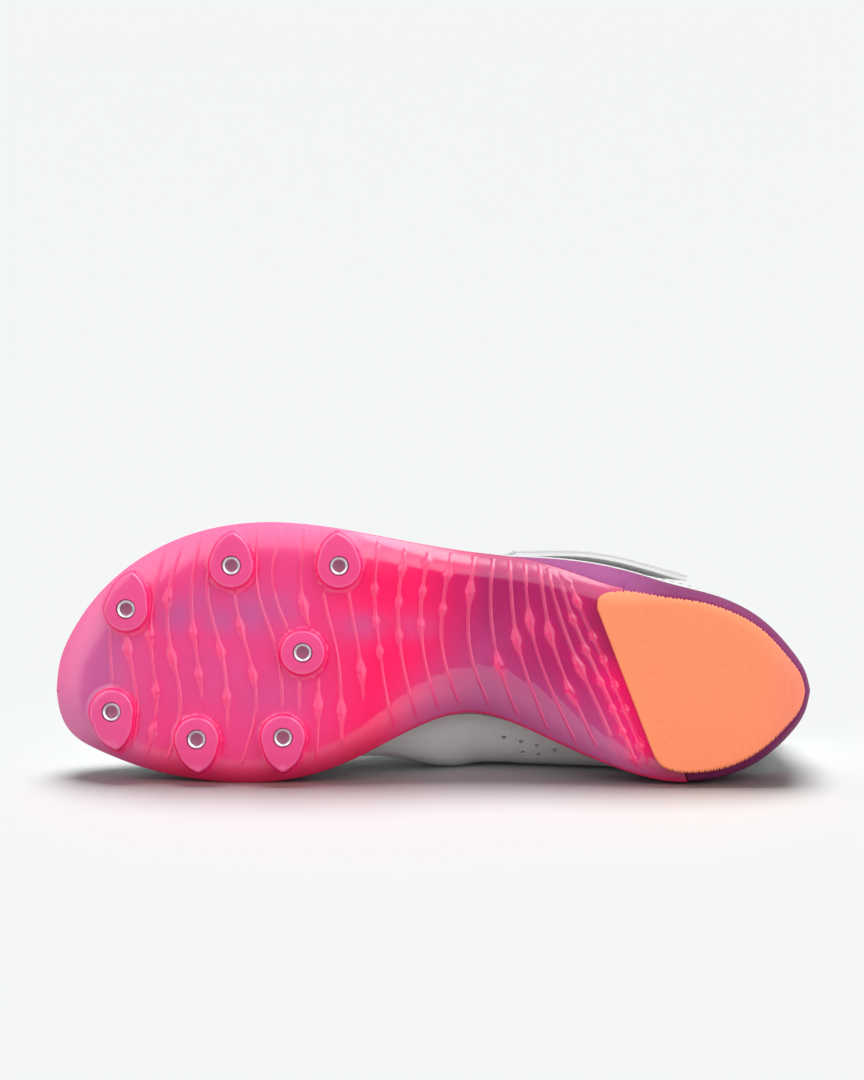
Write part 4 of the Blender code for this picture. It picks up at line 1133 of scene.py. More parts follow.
def pod_form(pod, edge):
    """A solid from a pod's flat face, over a rounded edge and a wall that flares out, into the plate."""
    angle = np.linspace(0, 2 * math.pi, POD_SIDES, endpoint=False)
    reach = pod_reach(pod, angle)
    centre = np.array(pod[:2])
    around = np.stack([np.cos(angle), np.sin(angle)], axis=1)
    turned = np.array(pod_frame(pod))
    rings = [(np.zeros(POD_SIDES), 0.0)]
    for bend in np.radians(POD_BENDS):
        rings.append((reach - edge * (1 - math.sin(bend)), edge * (1 - math.cos(bend))))
    loops = []
    for radius, depth in rings:
        loop = raised(around * radius[:, None], np.full(POD_SIDES, depth))
        loops.append(loop @ turned[:3, :3].T + turned[:3, 3])
    top = loops[-1]
    foot = centre + around * (reach + POD_DRAFT)[:, None]
    foot = raised(foot, underside(foot[:, 0], foot[:, 1]) + POD_SINK)
    for share in POD_WALL:
        wall = top * (1 - share) + foot * share
        wall[:, :2] = top[:, :2] + (foot[:, :2] - top[:, :2]) * share**POD_FLARE
        loops.append(wall)
    for share in POD_ROOT:
        plan = centre + (foot[:, :2] - centre) * share
        loops.append(raised(plan, underside(plan[:, 0], plan[:, 1]) + PLATE_THICKNESS / 2))
    bm = draped_grid(np.stack(loops), closed=True)
    bmesh.ops.dissolve_degenerate(bm, edges=bm.edges, dist=MERGE)
    face_outwards(bm)
    return bm


def well_form(pod):
    """The round hole of a spike well."""
    depth = SLEEVE_RECESS + SLEEVE_LENGTH + WELL_GAP
    radius = SLEEVE_RADIUS + WELL_GAP
    bm = bmesh.new()
    bmesh.ops.create_cone(bm, cap_ends=True, segments=SLEEVE_STEPS, radius1=radius, radius2=radius,
                          depth=depth + WELL_OVERSHOOT)
    bmesh.ops.translate(bm, vec=(0, 0, (depth - WELL_OVERSHOOT) / 2), verts=bm.verts)
    bmesh.ops.transform(bm, matrix=pod_frame(pod), verts=bm.verts)
    return bm


def build_plate(sizes, colours):
    """The plate with ribs and studs on its face, a rounded rim, raised pods and their wells."""
    plan, swell = plate_plan()
    x, y = plan[..., 0], plan[..., 1]
    level = underside(x, y)
    apart, side = rim_distance(x, y)
    arch = (1 - side) * stretch(apart, *DOME_ACROSS) * stretch(x, *DOME_ALONG)
    swell = swell[:, None] * (sizes.pillow + sizes.dome * arch) / MM
    foot = sizes.pod_foot / MM * pod_share(x, y, FOOT_SPREAD)
    height = np.maximum(rib_field(x, y, sizes)[0] + swell, foot)
    face = raised(plan, level - height * soft_step(apart, 0, RELIEF_EDGE))
    columns_kept = np.linspace(0, PLATE_ACROSS - 1, PLATE_BACK).round().astype(int)
    back = raised(plan, level + PLATE_THICKNESS)[:, columns_kept]
    out = wall_directions(face)
    bm = lofted(face, back, wall=[(share, out * bulge) for share, bulge in PLATE_WALL])
    pods = joined(*[pod_form(pod, sizes.pod_edge / MM) for pod in PODS])
    wells = joined(*[well_form(pod) for pod in PODS])
    bm = shaped(bm, [("BOOLEAN", {"operation": "UNION", "object": pods}),
                     ("BOOLEAN", {"operation": "DIFFERENCE", "object": wells})])
    return make_piece("ribbed_plate", bm, [plate_finish(colours)], ["outsole_plate"],
                      plate_marks(corners(bm), sizes), sharp=55)


def rim_tint(name, x, apart):
    """A tint along the plate's rim, at places so far apart from it."""
    reach, rise, fall, strength = RIM_TINTS[name]
    return strength * soft_step(apart, reach, 0) * stretch(x, *rise, *fall)


def plate_marks(places, sizes):
    """Where the plate is tinted otherwise: painted glow at ribs, pods and the pad's side, painted light in
    the wells, clouds, toe, a painted floor reflection along the arch, and painted shade and sheen along the
    rim.
    """
    x, y, z = places.T
    apart, side = rim_distance(x, y)
    proud = (underside(x, y) - z) / POD_HEIGHT
    on_pod = pod_share(x, y, POD_SPREAD)
    # The wells' floors, painted lighter as painted light where the deep holes lie in shade.
    well = np.zeros_like(x)
    for pod in PODS:
        pose = pod_frame(pod)
        own = (places - np.array(pose.translation)) @ np.array(pose.to_3x3())
        in_bore = np.hypot(own[:, 0], own[:, 1]) < SLEEVE_RADIUS + 2 * WELL_GAP
        well[in_bore & (own[:, 2] > SLEEVE_LENGTH)] = 1
    face = on_pod * smooth((proud - FACE_FROM) * FACE_RISE)
    # A halo of painted glow round each pod, shifted to one side.
    halo = HALO_SHARE * pod_share(x + HALO_SHIFT[0], y + HALO_SHIFT[1], HALO_SPREAD)
    wall = np.maximum(on_pod, halo) * (1 - face)
    cover = rib_field(x, y, sizes)[1] * (1 - on_pod)
    (front_x, front_y), (corner_x, corner_y) = PAD_INNER[0], PAD_OUTER[0]
    pad_front = front_x + (corner_x - front_x) * (y - front_y) / (corner_y - front_y)
    beside_pad = soft_step(x - pad_front, PAD_GLOW_REACH, 0) * stretch(y, *PAD_GLOW_Y)
    clouds = [share * np.exp(-((x - cloud_x) / long)**2 - ((y - cloud_y) / wide)**2)
              for cloud_x, cloud_y, long, wide, share in CLOUDS]
    toe = TOE_TINT * soft_step(x, *TOE_TINT_X) * soft_step(apart, *TOE_TINT_RIM)
    # Painted shade on the inner rim of the forefoot, and a thin darker line along the rim behind it.
    deep = np.maximum(rim_tint("inner rim shade", x, apart), rim_tint("rim line", x, apart))
    matt = np.maximum(rim_tint("matt forefoot", x, apart), rim_tint("matt waist", x, apart) * side)
    return {
        "along": x / LENGTH,
        "milky": np.max(clouds, axis=0),
        # Mauve over the toe, and a painted reflection of the floor along the arch's inner rim.
        "mauve": np.maximum(toe, rim_tint("arch", x, apart) * (1 - side)),
        # Painted glow on ribs, studs, pod walls and the plate beside the pad.
        "glow": np.clip(np.maximum(RIB_GLOW * cover, POD_GLOW * wall) + PAD_GLOW * beside_pad, 0, 1),
        "face": FACE_TINT * face,
        # Painted shade along the inner rim.
        "deep": deep * (1 - side),
        # Painted sheen on the outer rim of the forefoot.
        "pale": rim_tint("outer rim sheen", x, apart) * side,
        # Painted light on the wells' floors.
        "well": well,
        "matt": matt * (1 - on_pod),
    }


def build_sleeves(colours):
    """Threaded steel sleeves for screw-in spikes, each turned about its pod's axis."""
    paint = steel_finish(colours)
    top, bottom = SLEEVE_RECESS, SLEEVE_RECESS + SLEEVE_LENGTH
    inset, drop = SLEEVE_CHAMFER
    section = [(SLEEVE_RADIUS - inset, top), (SLEEVE_RADIUS, top + drop), (SLEEVE_RADIUS, bottom),
               (SLEEVE_BORE, bottom)]
    level = bottom - THREAD_END
    while level > top + SLEEVE_SINK + THREAD_PITCH:
        section += [(SLEEVE_BORE, level), (SLEEVE_BORE + THREAD_DEPTH, level - THREAD_PITCH / 2)]
        level -= THREAD_PITCH
    section.append((SLEEVE_BORE, top + SLEEVE_SINK))
    for number, pod in enumerate(PODS, 1):
        bm = turned_ring(section, SLEEVE_STEPS, pod_frame(pod))
        make_piece(f"spike_sleeve_{number}", bm, [paint], [f"spike_insert_{number}"], sharp=30)


def pad_tread(x, y):
    """Height of the heel pad's tread, flat on the ground and turned up at the back."""
    return np.maximum(underside(x, y) - FEATHER_GAP - PAD_THICKNESS, 0)


def tread_studs(rim, sizes):
    """Small square studs over the heel pad, clear of its rim."""
    pitch, half, height = (size / MM for size in (sizes.tread_pitch, sizes.tread_half, sizes.tread_height))
    spans = [np.arange(first, last, pitch) for first, last in zip(TREAD_FIRST, TREAD_LAST)]
    studs = np.stack(np.meshgrid(*spans, indexing="ij"), axis=-1).reshape(-1, 2)
    clear = line_distance(rim, *studs.T)[0] > TREAD_MARGIN
    forms = bmesh.new()
    for stud in studs[clear]:
        if not within(rim, stud):
            continue
        level = float(pad_tread(*stud[:, None])[0])
        turn = Matrix.Translation((*stud, level)) @ Matrix.Rotation(math.pi / 4, 4, "Z")
        bmesh.ops.create_cone(forms, cap_ends=True, segments=4, radius1=half * TREAD_TOP,
                              radius2=half * TREAD_FOOT, depth=2 * height, matrix=turn)
    return forms


def build_pad(sizes, colours):
    """The heel pad with its toothed edge and its field of small square studs."""
    across = eased(PAD_ACROSS, 1.5, 1.5)
    plan = ruled([*PAD_INNER, PAD_TIP], [*PAD_OUTER, PAD_TIP], np.linspace(0, 1, PAD_ROWS), across)
    rim = np.concatenate([plan[:, -1], plan[::-1, 0]])
    apart = line_distance(rim, plan[..., 0], plan[..., 1])[0]
    row = np.arange(PAD_ROWS)
    toothed = np.take(TOOTH_FORM, row % len(TOOTH_FORM)) * stretch(row, *TOOTHED_ROWS)
    toothed = toothed * (1 - TOOTH_WAVE + TOOTH_WAVE * np.sin(TOOTH_TURN * row))
    sides = np.abs(across - 0.5) * 2
    bite = sizes.tooth_depth / MM * toothed[:, None] * soft_step(sides, TOOTH_BAND, 1)[None]
    plan = plan + unit(plan.mean(axis=1, keepdims=True) - plan) * bite[..., None]
    x, y = plan[..., 0], plan[..., 1]
    edge = PAD_EDGE - np.sqrt(np.maximum(PAD_EDGE**2 - np.maximum(PAD_EDGE - apart, 0)**2, 0))
    face, back = pad_tread(x, y) + edge, underside(x, y) - FEATHER_GAP
    bm = lofted(raised(plan, face), raised(plan, back))
    tread = joined(bm, tread_studs(rim, sizes))
    marks = {"back": PAD_BACK_TONE * soft_step(corners(tread)[:, 0], *PAD_BACK_TONE_X)}
    return make_piece("heel_tread", tread, [rubber_finish(colours)], ["heel_pad"], marks, sharp=35)


def within(line, place):
    """Whether a place lies inside a closed line."""
    ahead = np.roll(line, -1, axis=0)
    spans = (line[:, 1] > place[1]) != (ahead[:, 1] > place[1])
    rise = np.where(spans, ahead[:, 1] - line[:, 1], 1)
    crossing = line[:, 0] + (place[1] - line[:, 1]) / rise * (ahead[:, 0] - line[:, 0])
    return bool((spans & (place[0] < crossing)).sum() % 2)


def plate_back(rows, across):
    """Points of the plate's lower face in plain slanting rows, for what lies against it."""
    sides = []
    for side in ("inner", "outer"):
        points = branch("edge", side)
        sides.append(path(points, np.linspace(0, share_at(points, PLATE_END[side][0]), BACK_STEPS)))
    plan = ruled(*sides, eased(rows, 2.0, 1.0), across)
    return raised(plan, underside(plan[..., 0], plan[..., 1]))


def build_midsole(colours):
    """Foam from toe to heel, rebated over the plate and full depth behind it."""
    across, top_across = eased(FOAM_ACROSS, 1.6, 1.6), eased(FOAM_TOP_ACROSS, 1.3, 1.3)
    front = plate_back(FOAM_ROWS, across) + [0, 0, PLATE_THICKNESS + CURVED_GAP]
    step = np.linalg.norm(front[:, 1] - front[:, 0], axis=1, keepdims=True)
    draw = np.where(step > 0.01, MIDSOLE_INSET / np.maximum(step, MIDSOLE_INSET), 0)
    front[:, 0] += (front[:, 1] - front[:, 0]) * draw
    front[:, -1] += (front[:, -2] - front[:, -1]) * draw
    front[0] += (front[2, len(across) // 2] - front[0]) * TOE_DRAW
    rear_along = eased(HEEL_FOAM_ROWS, 1.0, 1.6)
    base, feather = [], []
    for side in ("inner", "outer"):
        x = PLATE_END[side][0]
        heel_edge = drawn_in(branch("edge", side), side, MIDSOLE_INSET)
        end = share_at(heel_edge, x - 2 * CURVED_GAP)
        behind = end + rear_along * (1 - end)
        base.append(path(heel_edge, behind)[:, None])
        whole = np.append(eased(FOAM_ROWS, 2.0, 1.0) * share_at(branch("edge", side), x), behind)
        feather.append(path(branch("feather", side), whole)[:, None])
    feather[0][..., 1] += ARCH_INSET * stretch(feather[0][..., 0], *ARCH_X)
    rear = between(*base, across)
    rear = raised(rear, underside(rear[..., 0], rear[..., 1]))
    top = between(*feather, top_across)
    top = raised(top, bed(top[..., 0], top[..., 1]))
    out = wall_directions(top) * profile("bulge", top[:, [0, -1], 0])[..., None]
    wall = [(share, out * bulge) for share, bulge in MIDSOLE_WALL]
    bm = lofted(np.concatenate([front, rear]), top, wall)
    # Painted shade: the foam darker towards the heel.
    marks = {"heel": soft_step(corners(bm)[:, 0], *HEEL_SHADE_X)}
    return make_piece("foam_midsole", bm, [foam_finish(colours)], ["midsole"], marks, sharp=50)


def build_insole(sizes, colours):
    """The inner sole, covered with cloth."""
    across = eased(INSOLE_ACROSS, 1.3, 1.3)
    inset = UPPER_WALL + 2 * CURVED_GAP
    sides = [drawn_in(branch("feather", side), side, inset) for side in ("inner", "outer")]
    plan = ruled(*sides, eased(INSOLE_ROWS, 1.6, 1.6), across)
    low = bed(plan[..., 0], plan[..., 1]) + CURVED_GAP
    rim = np.concatenate([plan[:, -1], plan[::-1, 0]])
    apart = line_distance(rim, plan[..., 0], plan[..., 1])[0]
    edge = INSOLE_EDGE * soft_step(apart, INSOLE_EDGE_WIDTH, 0)
    lower, upper = raised(plan, low), raised(plan, low + INSOLE_THICKNESS - edge)
    sheet = np.concatenate([plan, plan[:, ::-1], plan[:, :1]], axis=1)
    bm = lofted(lower, upper, sheet=sheet)
    paint = cloth_finish("insole cloth", colours.insole, sizes.weave)
    return make_piece("sock_liner", bm, [paint], ["insole"])


# Upper pieces

FEATHER_OUTER, FEATHER_INNER = branch("feather", "outer"), branch("feather", "inner")


def round_share(side, x):
    """Where a column stands on the closed feather line, from 0 at the toe to 1 at the toe again."""
    if side == OUTER:
        return share_at(FEATHER_OUTER, x) / 2
    if side == INNER:
        return 1 - share_at(FEATHER_INNER, x) / 2
    return 0.0 if x > LENGTH / 2 else 0.5


UPPER_KNOTS = np.array([round_share(int(row[0]), row[1]) for row in UPPER])


def upper_column(name, around):
    return cubic(UPPER_KNOTS, column(UPPER, UPPER_COLUMNS, name), around, period=1.0)


def feather_point(around):
    around = np.asarray(around, float) % 1
    outer = path(FEATHER_OUTER, np.clip(around * 2, 0, 1))
    inner = path(FEATHER_INNER, np.clip((1 - around) * 2, 0, 1))
    return np.where((around <= 0.5)[..., None], outer, inner)


def upper_point(around, reach):
    """A point of the upper's outer face: around the shoe, and from feather line (0) to topline (1)."""
    around, reach = np.broadcast_arrays(np.asarray(around, float), np.asarray(reach, float))
    foot = feather_point(around)
    way = feather_point(around + OUT_SPAN) - feather_point(around - OUT_SPAN)
    out = unit(np.stack([way[..., 1], -way[..., 0]], axis=-1))
    out = np.concatenate([out, np.zeros((*out.shape[:-1], 1))], axis=-1)
    up = np.array([0.0, 0.0, 1.0])
    base = raised(foot - FEATHER_SET * out[..., :2], profile("rim", foot[..., 0]) + FEATHER_GAP)
    top = np.stack([upper_column(name, around) for name in ("top_x", "top_y", "top_z")], axis=-1)
    swell, rise, shoulder, drop = (upper_column(name, around)[..., None]
                                   for name in ("swell", "rise", "shoulder", "drop"))
    low_handle = base + out * swell + up * rise
    high_handle = top + out * shoulder - up * drop
    t = reach[..., None]
    return base * (1 - t)**3 + 3 * low_handle * t * (1 - t)**2 + 3 * high_handle * t**2 * (1 - t) + top * t**3


def upper_normal(around, reach):
    around, reach = np.asarray(around), np.asarray(reach)
    aside, above = NORMAL_SPAN
    along = upper_point(around + aside, reach) - upper_point(around - aside, reach)
    low, high = np.clip(reach - above, 0, 1), np.clip(reach + above, 0, 1)
    rising = upper_point(around, high) - upper_point(around, low)
    return unit(np.cross(along, rising))


def off_upper(around, reach, lift):
    """A point that stands off the upper's outer face by a lift."""
    return upper_point(around, reach) + lift * upper_normal(around, reach)


def square_to_upper(around, reach, lift=0.0):
    """The place of something that stands on the upper, with its z out of the wall."""
    way = Vector(upper_normal(around, reach)).to_track_quat("Z", "Y").to_matrix().to_4x4()
    return Matrix.Translation(off_upper(around, reach, lift)) @ way


def toe_guard(x):
    """Top of the toe guard, as a share of the wall's height at columns standing at x."""
    return GUARD_LOW + GUARD_RISE * soft_step(x, *GUARD_X)


def heel_counter(x):
    """Top of the heel counter, as a share of the wall's height."""
    return COUNTER_TOP * soft_step(x, *COUNTER_X)


def film_share(around, reach):
    """1 where a film overlay covers the upper: toe guard, heel counter and eyestays."""
    x = feather_point(around)[..., 0]
    toe = smooth((toe_guard(x) - reach) / OVERLAY_SOFT) * soft_step(x, *GUARD_END_X)
    heel = smooth((heel_counter(x) - reach) / OVERLAY_SOFT)
    stay = smooth((reach - STAY_REACH) / OVERLAY_SOFT) * soft_step(upper_column("top_x", around), *STAY_X)
    return np.maximum.reduce([toe, heel, stay])


def crease_depth(around, reach):
    """Soft creases over the vamp where the forefoot bends, as shares of their full depth."""
    point = upper_point(around, reach)
    depth = np.zeros(point.shape[:2])
    for x, lean, width, share in CREASES:
        across = (point[..., 0] - x - lean * (point[..., 1] - CREASE_MIDDLE)) / width
        depth += share * np.exp(-across**2)
    return depth * stretch(reach, *CREASE_REACH)


def build_upper(sizes, colours):
    """The hollow textile upper with its film overlays, creases and perforations."""
    around = np.linspace(0, 1, UPPER_ROUND, endpoint=False)[None, :]
    around = around - TIP_CROWDING * np.sin(4 * math.pi * around)
    reach = eased(UPPER_RISE + 1, 1.2, 1.2)[:, None]
    around, reach = np.broadcast_arrays(around, reach)
    film = film_share(around, reach)
    points = upper_point(around, reach)
    stand = sizes.overlay / MM * film - sizes.crease / MM * crease_depth(around, reach)
    points = points + upper_normal(around, reach) * stand[..., None]
    run = np.concatenate([np.zeros((1, UPPER_ROUND)),
                          np.cumsum(np.linalg.norm(np.diff(points, axis=0), axis=-1), axis=0)])
    round_run = np.concatenate([around, np.ones((UPPER_RISE + 1, 1))], axis=1) * ROUND_LENGTH
    sheet = np.stack([round_run, np.concatenate([run, run[:, :1]], axis=1)], axis=-1)
    bm = draped_grid(points, closed=True, sheet=sheet)
    bmesh.ops.recalc_face_normals(bm, faces=bm.faces)
    widest = max(bm.faces, key=lambda face: face.calc_center_median().y)
    if widest.normal.y < 0:
        bmesh.ops.reverse_faces(bm, faces=bm.faces)
    wall = {"thickness": UPPER_WALL, "offset": -1, "material_offset": 1}
    bm = shaped(bm, [("SOLIDIFY", wall), ("BOOLEAN", {"operation": "DIFFERENCE", "object": perforations()})])
    paints = [cloth_finish("upper cloth", colours.cloth, sizes.weave, overlay=colours.overlay),
              cloth_finish("lining cloth", colours.lining, sizes.weave)]
    nearest = nearest_share(corners(bm), points, film)
    return make_piece("fabric_upper", bm, paints, ["upper"], {"film": nearest}, sharp=50)


def nearest_share(places, grid, values):
    """The value at the nearest point of a grid, for each place."""
    flat, kept = grid.reshape(-1, 3), values.reshape(-1)
    found = np.empty(len(places))
    for start in range(0, len(places), GRID_BATCH):
        some = places[start:start + GRID_BATCH]
        apart = (some**2).sum(1)[:, None] - 2 * some @ flat.T + (flat**2).sum(1)[None]
        found[start:start + GRID_BATCH] = kept[apart.argmin(1)]
    return found


def perforations():
    """Short rods square to the wall where the inner quarter is perforated."""
    rods = bmesh.new()
    for reach, places in HOLE_ROWS:
        for x in places:
            place = square_to_upper(round_share(INNER, x), reach)
            bmesh.ops.create_cone(rods, cap_ends=True, segments=HOLE_SIDES, radius1=HOLE_RADIUS,
                                  radius2=HOLE_RADIUS, depth=3 * UPPER_WALL, matrix=place)
    return rods


def build_binding(sizes, colours):
    """A turned-over tape round the topline."""
    around = np.linspace(0, 1, UPPER_ROUND, endpoint=False)
    centre = off_upper(around, 1.0, -UPPER_WALL / 2)
    along = unit(np.roll(centre, -1, axis=0) - np.roll(centre, 1, axis=0))
    side = upper_normal(around, 1.0)
    side = unit(side - along * (side * along).sum(1, keepdims=True))
    up = np.cross(side, along)
    angle = np.linspace(0, 2 * math.pi, BINDING_SIDES, endpoint=False)[:, None, None]
    loops = centre + BINDING_HALF * (np.cos(angle) * side + BINDING_TALL * np.sin(angle) * up)
    closed = np.concatenate([loops, loops[:1]])
    run = np.append(np.linspace(0, ROUND_LENGTH, UPPER_ROUND), ROUND_LENGTH + BINDING_LAP)
    turn = np.linspace(0, BINDING_GIRTH, BINDING_SIDES + 1)
    sheet = np.stack(np.broadcast_arrays(run[None], turn[:, None]), axis=-1)
    bm = draped_grid(closed, closed=True, sheet=sheet)
    face_outwards(bm)
    paint = cloth_finish("binding tape", colours.overlay, sizes.weave)
    return make_piece("collar_binding", bm, [paint])


def throat_row(outer_around, inner_around, lift, tuck, crown, arch=THROAT_ARCH, climb=THROAT_CLIMB):
    """Points across the throat: up the outer eyestay from tuck, over the gap and down the inner one."""
    reach = np.linspace(tuck, 1.0, climb)
    outer, inner = (off_upper(around, reach, lift) for around in (outer_around, inner_around))
    t = np.linspace(0, 1, arch + 2)[1:-1, None]
    span = outer[-1] * (1 - t) + inner[-1] * t
    along = upper_point(outer_around - THROAT_SPAN, 1.0) - upper_point(outer_around + THROAT_SPAN, 1.0)
    over = unit(np.cross(along, inner[-1] - outer[-1]))
    over *= 1 if over[2] > 0 else -1
    return np.concatenate([outer, span + over * crown * 4 * t * (1 - t), inner[::-1]])


def grid_normals(rows):
    """The outward way at each point of a strip over the instep."""
    normal = unit(np.cross(np.gradient(rows, axis=0), np.gradient(rows, axis=1)))
    return normal if normal[..., 2].mean() > 0 else -normal


def sheet_places(rows, wall_loops):
    """The cloth's own place of each point of a closed strip, in millimetres, under and over."""
    across = np.cumsum(np.linalg.norm(np.diff(rows, axis=1, prepend=rows[:, :1]), axis=-1), axis=1)
    along = np.cumsum(np.linalg.norm(np.diff(rows, axis=0, prepend=rows[:1]), axis=-1), axis=0)
    face = np.stack([across, along], axis=-1)
    outer, inner = (np.repeat(face[:, k][:, None], wall_loops, axis=1) for k in (-1, 0))
    return np.concatenate([face, outer, face[:, ::-1], inner, face[:, :1]], axis=1)


def strip_form(rows, low, high, bulge=0.0):
    """A closed strip between two heights over a grid of points, its side edges rounded by a bulge."""
    normal = grid_normals(rows)
    out = unit(np.stack([rows[:, 0] - rows[:, 1], rows[:, -1] - rows[:, -2]], axis=1))
    wall = [(t, out * bulge * math.sin(math.pi * t)) for t in (0.2, 0.5, 0.8)]
    return lofted(rows + normal * low, rows + normal * high, wall, sheet_places(rows, len(wall)))


def build_tongue(sizes, colours):
    """A padded strip under the eyestays that stands up past the throat."""
    under = -(UPPER_WALL + 2.5 * CURVED_GAP + TONGUE_THICKNESS)
    places = np.linspace(TONGUE_FRONT_X, TONGUE_TOP_X, TONGUE_ROWS)
    tucks = np.linspace(TONGUE_TUCK, TONGUE_TOP_TUCK, TONGUE_ROWS)
    rows = [throat_row(round_share(OUTER, x), round_share(INNER, x), under, tuck, TONGUE_CROWN, TONGUE_ARCH,
                       TONGUE_CLIMB) for x, tuck in zip(places, tucks)]
    root = [rows[0] + np.array(TONGUE_ROOT) * share for share in np.linspace(1.0, 0.1, TONGUE_ROOT_ROWS)]
    stand = [rows[-1] + np.array(TONGUE_STAND) * share for share in np.linspace(0.05, 1.0, TONGUE_STAND_ROWS)]
    rows = np.stack([*root, *rows, *stand])
    top = rows[-TONGUE_ROUND_ROWS:]
    middle = top.mean(axis=1, keepdims=True)
    narrowed = 1 - TONGUE_ROUND * np.linspace(0, 1, TONGUE_ROUND_ROWS)**2
    rows[-TONGUE_ROUND_ROWS:] = middle + (top - middle) * narrowed[:, None, None]
    below, above = TONGUE_CLEAR
    bm = strip_form(rows, below, TONGUE_THICKNESS - above, TONGUE_BULGE)
    paint = cloth_finish("tongue cloth", colours.cloth, sizes.weave)
    tongue = make_piece("soft_tongue", bm, [paint], ["tongue"], sharp=60)
    return tongue


def strap_lift(reach, q):
    """How far the strap stands off the upper: clear of the lace, and at its free end's rear corner."""
    rise = smooth((reach - STRAP_RISE_FROM) / STRAP_RISE_OVER)
    at_end = 1 - smooth((reach - STRAP_END_REACH) / STRAP_FLARE_OVER)
    flare = STRAP_FLARE * smooth(q / STRAP_FLARE_FROM) * at_end
    return (CURVED_GAP + (STRAP_LIFT - CURVED_GAP) * rise + flare)[:, None]


def strap_row(q):
    """A line along the strap, from its outer end over the instep to its inner anchor."""
    end = round_share(OUTER, STRAP_END_FRONT_X + (STRAP_END_REAR_X - STRAP_END_FRONT_X) * q)
    top_x = STRAP_TOP_FRONT_X + (STRAP_TOP_REAR_X - STRAP_TOP_FRONT_X) * q
    outer_top, inner_top = round_share(OUTER, top_x), round_share(INNER, top_x)
    climb = np.linspace(0, 1, STRAP_CLIMB, endpoint=False)
    around = end + (outer_top - end) * climb**STRAP_LEAN
    outer_reach = STRAP_END_REACH + (1 - STRAP_END_REACH) * climb
    inner_reach = np.linspace(1, STRAP_ANCHOR_REACH, STRAP_ANCHOR)[1:]
    outer = off_upper(around, outer_reach, strap_lift(outer_reach, q))
    over = throat_row(outer_top, inner_top, STRAP_LIFT, 1.0, STRAP_CROWN, STRAP_ARCH)
    over = over[THROAT_CLIMB - 1:1 - THROAT_CLIMB]
    inner = off_upper(inner_top, inner_reach, strap_lift(inner_reach, q))
    return np.concatenate([outer, over, inner])


def build_strap(sizes, colours):
    """A wide strap of three layers, the middle one set back a little along its cut edges."""
    rows = np.stack([strap_row(q) for q in np.linspace(0, 1, STRAP_LINES)])
    core = rows.copy()
    for grid in (core, core.transpose(1, 0, 2)):
        for edge, inwards in ((0, 1), (-1, -2)):
            grid[edge] += (grid[inwards] - grid[edge]) * STRAP_CORE_SET
    layers = [strip_form(grid, *layer) for grid, layer in zip((rows, core, rows), STRAP_LAYERS)]
    for face in layers[1].faces:
        face.material_index = 1
    paints = [cloth_finish("strap cloth", colours.strap, sizes.weave),
              cloth_finish("strap core", colours.layer, sizes.weave)]
    return make_piece("layered_strap", joined(*layers), paints, ["strap"], sharp=35)


def lace_runs():
    """Routes of the two crossing runs and the bar at the toe end."""
    lift = LACE_DIAMETER / 2 + 2 * CURVED_GAP
    rows = [throat_row(round_share(OUTER, x), round_share(INNER, x), lift, LACE_REACH, LACE_CROWN)
            for x in LACE_ROWS_X]
    middle, edges = len(rows[0]) // 2, (THROAT_CLIMB - 1, -THROAT_CLIMB)
    runs = []
    for first_side in (0, 1):
        points = []
        for number, row in enumerate(rows):
            side = (number + first_side) % 2
            near, far = edges[side], edges[1 - side]
            points.append(row[-side])
            if number + 1 < len(rows):
                ahead = rows[number + 1]
                over = LACE_DIAMETER / 2 * (1 - 2 * side)
                points.append(row[near] * (1 - LACE_EASE) + ahead[near] * LACE_EASE)
                points.append((row[middle] + ahead[middle]) / 2 + np.array([0, 0, over]))
                points.append(row[far] * LACE_EASE + ahead[far] * (1 - LACE_EASE))
        runs.append(points)
    runs.append([rows[0][k] for k in (0, edges[0], middle, edges[1], -1)])
    return runs


def cord_form(points, radius, sides=12):
    """A closed round cord along a smooth line through points."""
    points = np.asarray(points)
    chord = run_along(points)
    at = np.linspace(0, chord[-1], int(chord[-1] / CORD_STEP))
    line = np.stack([cubic(chord, points[:, k], at) for k in range(3)], axis=1)
    along = unit(np.gradient(line, axis=0))
    side = unit(np.cross(along, (0, 0, 1)))
    up = np.cross(side, along)
    angle = np.linspace(0, 2 * math.pi, sides, endpoint=False)
    loops = line[:, None] + radius * (np.cos(angle)[None, :, None] * side[:, None]
                                      + np.sin(angle)[None, :, None] * up[:, None])
    run = np.repeat(at[:, None], sides + 1, axis=1)
    turn = np.repeat(np.linspace(0, 2 * math.pi * radius, sides + 1)[None], len(at), axis=0)
    bm = draped_grid(loops, closed=True, sheet=np.stack([run + turn, run - turn], axis=-1))
    bmesh.ops.holes_fill(bm, edges=[edge for edge in bm.edges if edge.is_boundary])
    face_outwards(bm)
    return bm


def build_lace(sizes, colours):
    """Braided lace over the throat, its ends at the top eyelets."""
    forms = [cord_form(points, LACE_DIAMETER / 2) for points in lace_runs()]
    paint = cloth_finish("braided lace", colours.lace, sizes.weave)
    return make_piece("braided_lace", joined(*forms), [paint], ["lace"], sharp=60)


def build_eyelets(sizes, colours):
    """Small metal rings that the lace runs over, one on either eyestay at each lace row."""
    rings = []
    for x in LACE_ROWS_X:
        for side in (OUTER, INNER):
            place = square_to_upper(round_share(side, x), LACE_REACH, sizes.overlay / MM)
            rings.append(turned_ring(EYELET_SECTION, EYELET_STEPS, place))
    return make_piece("lace_eyelets", joined(*rings), [steel_finish(colours)], sharp=40)


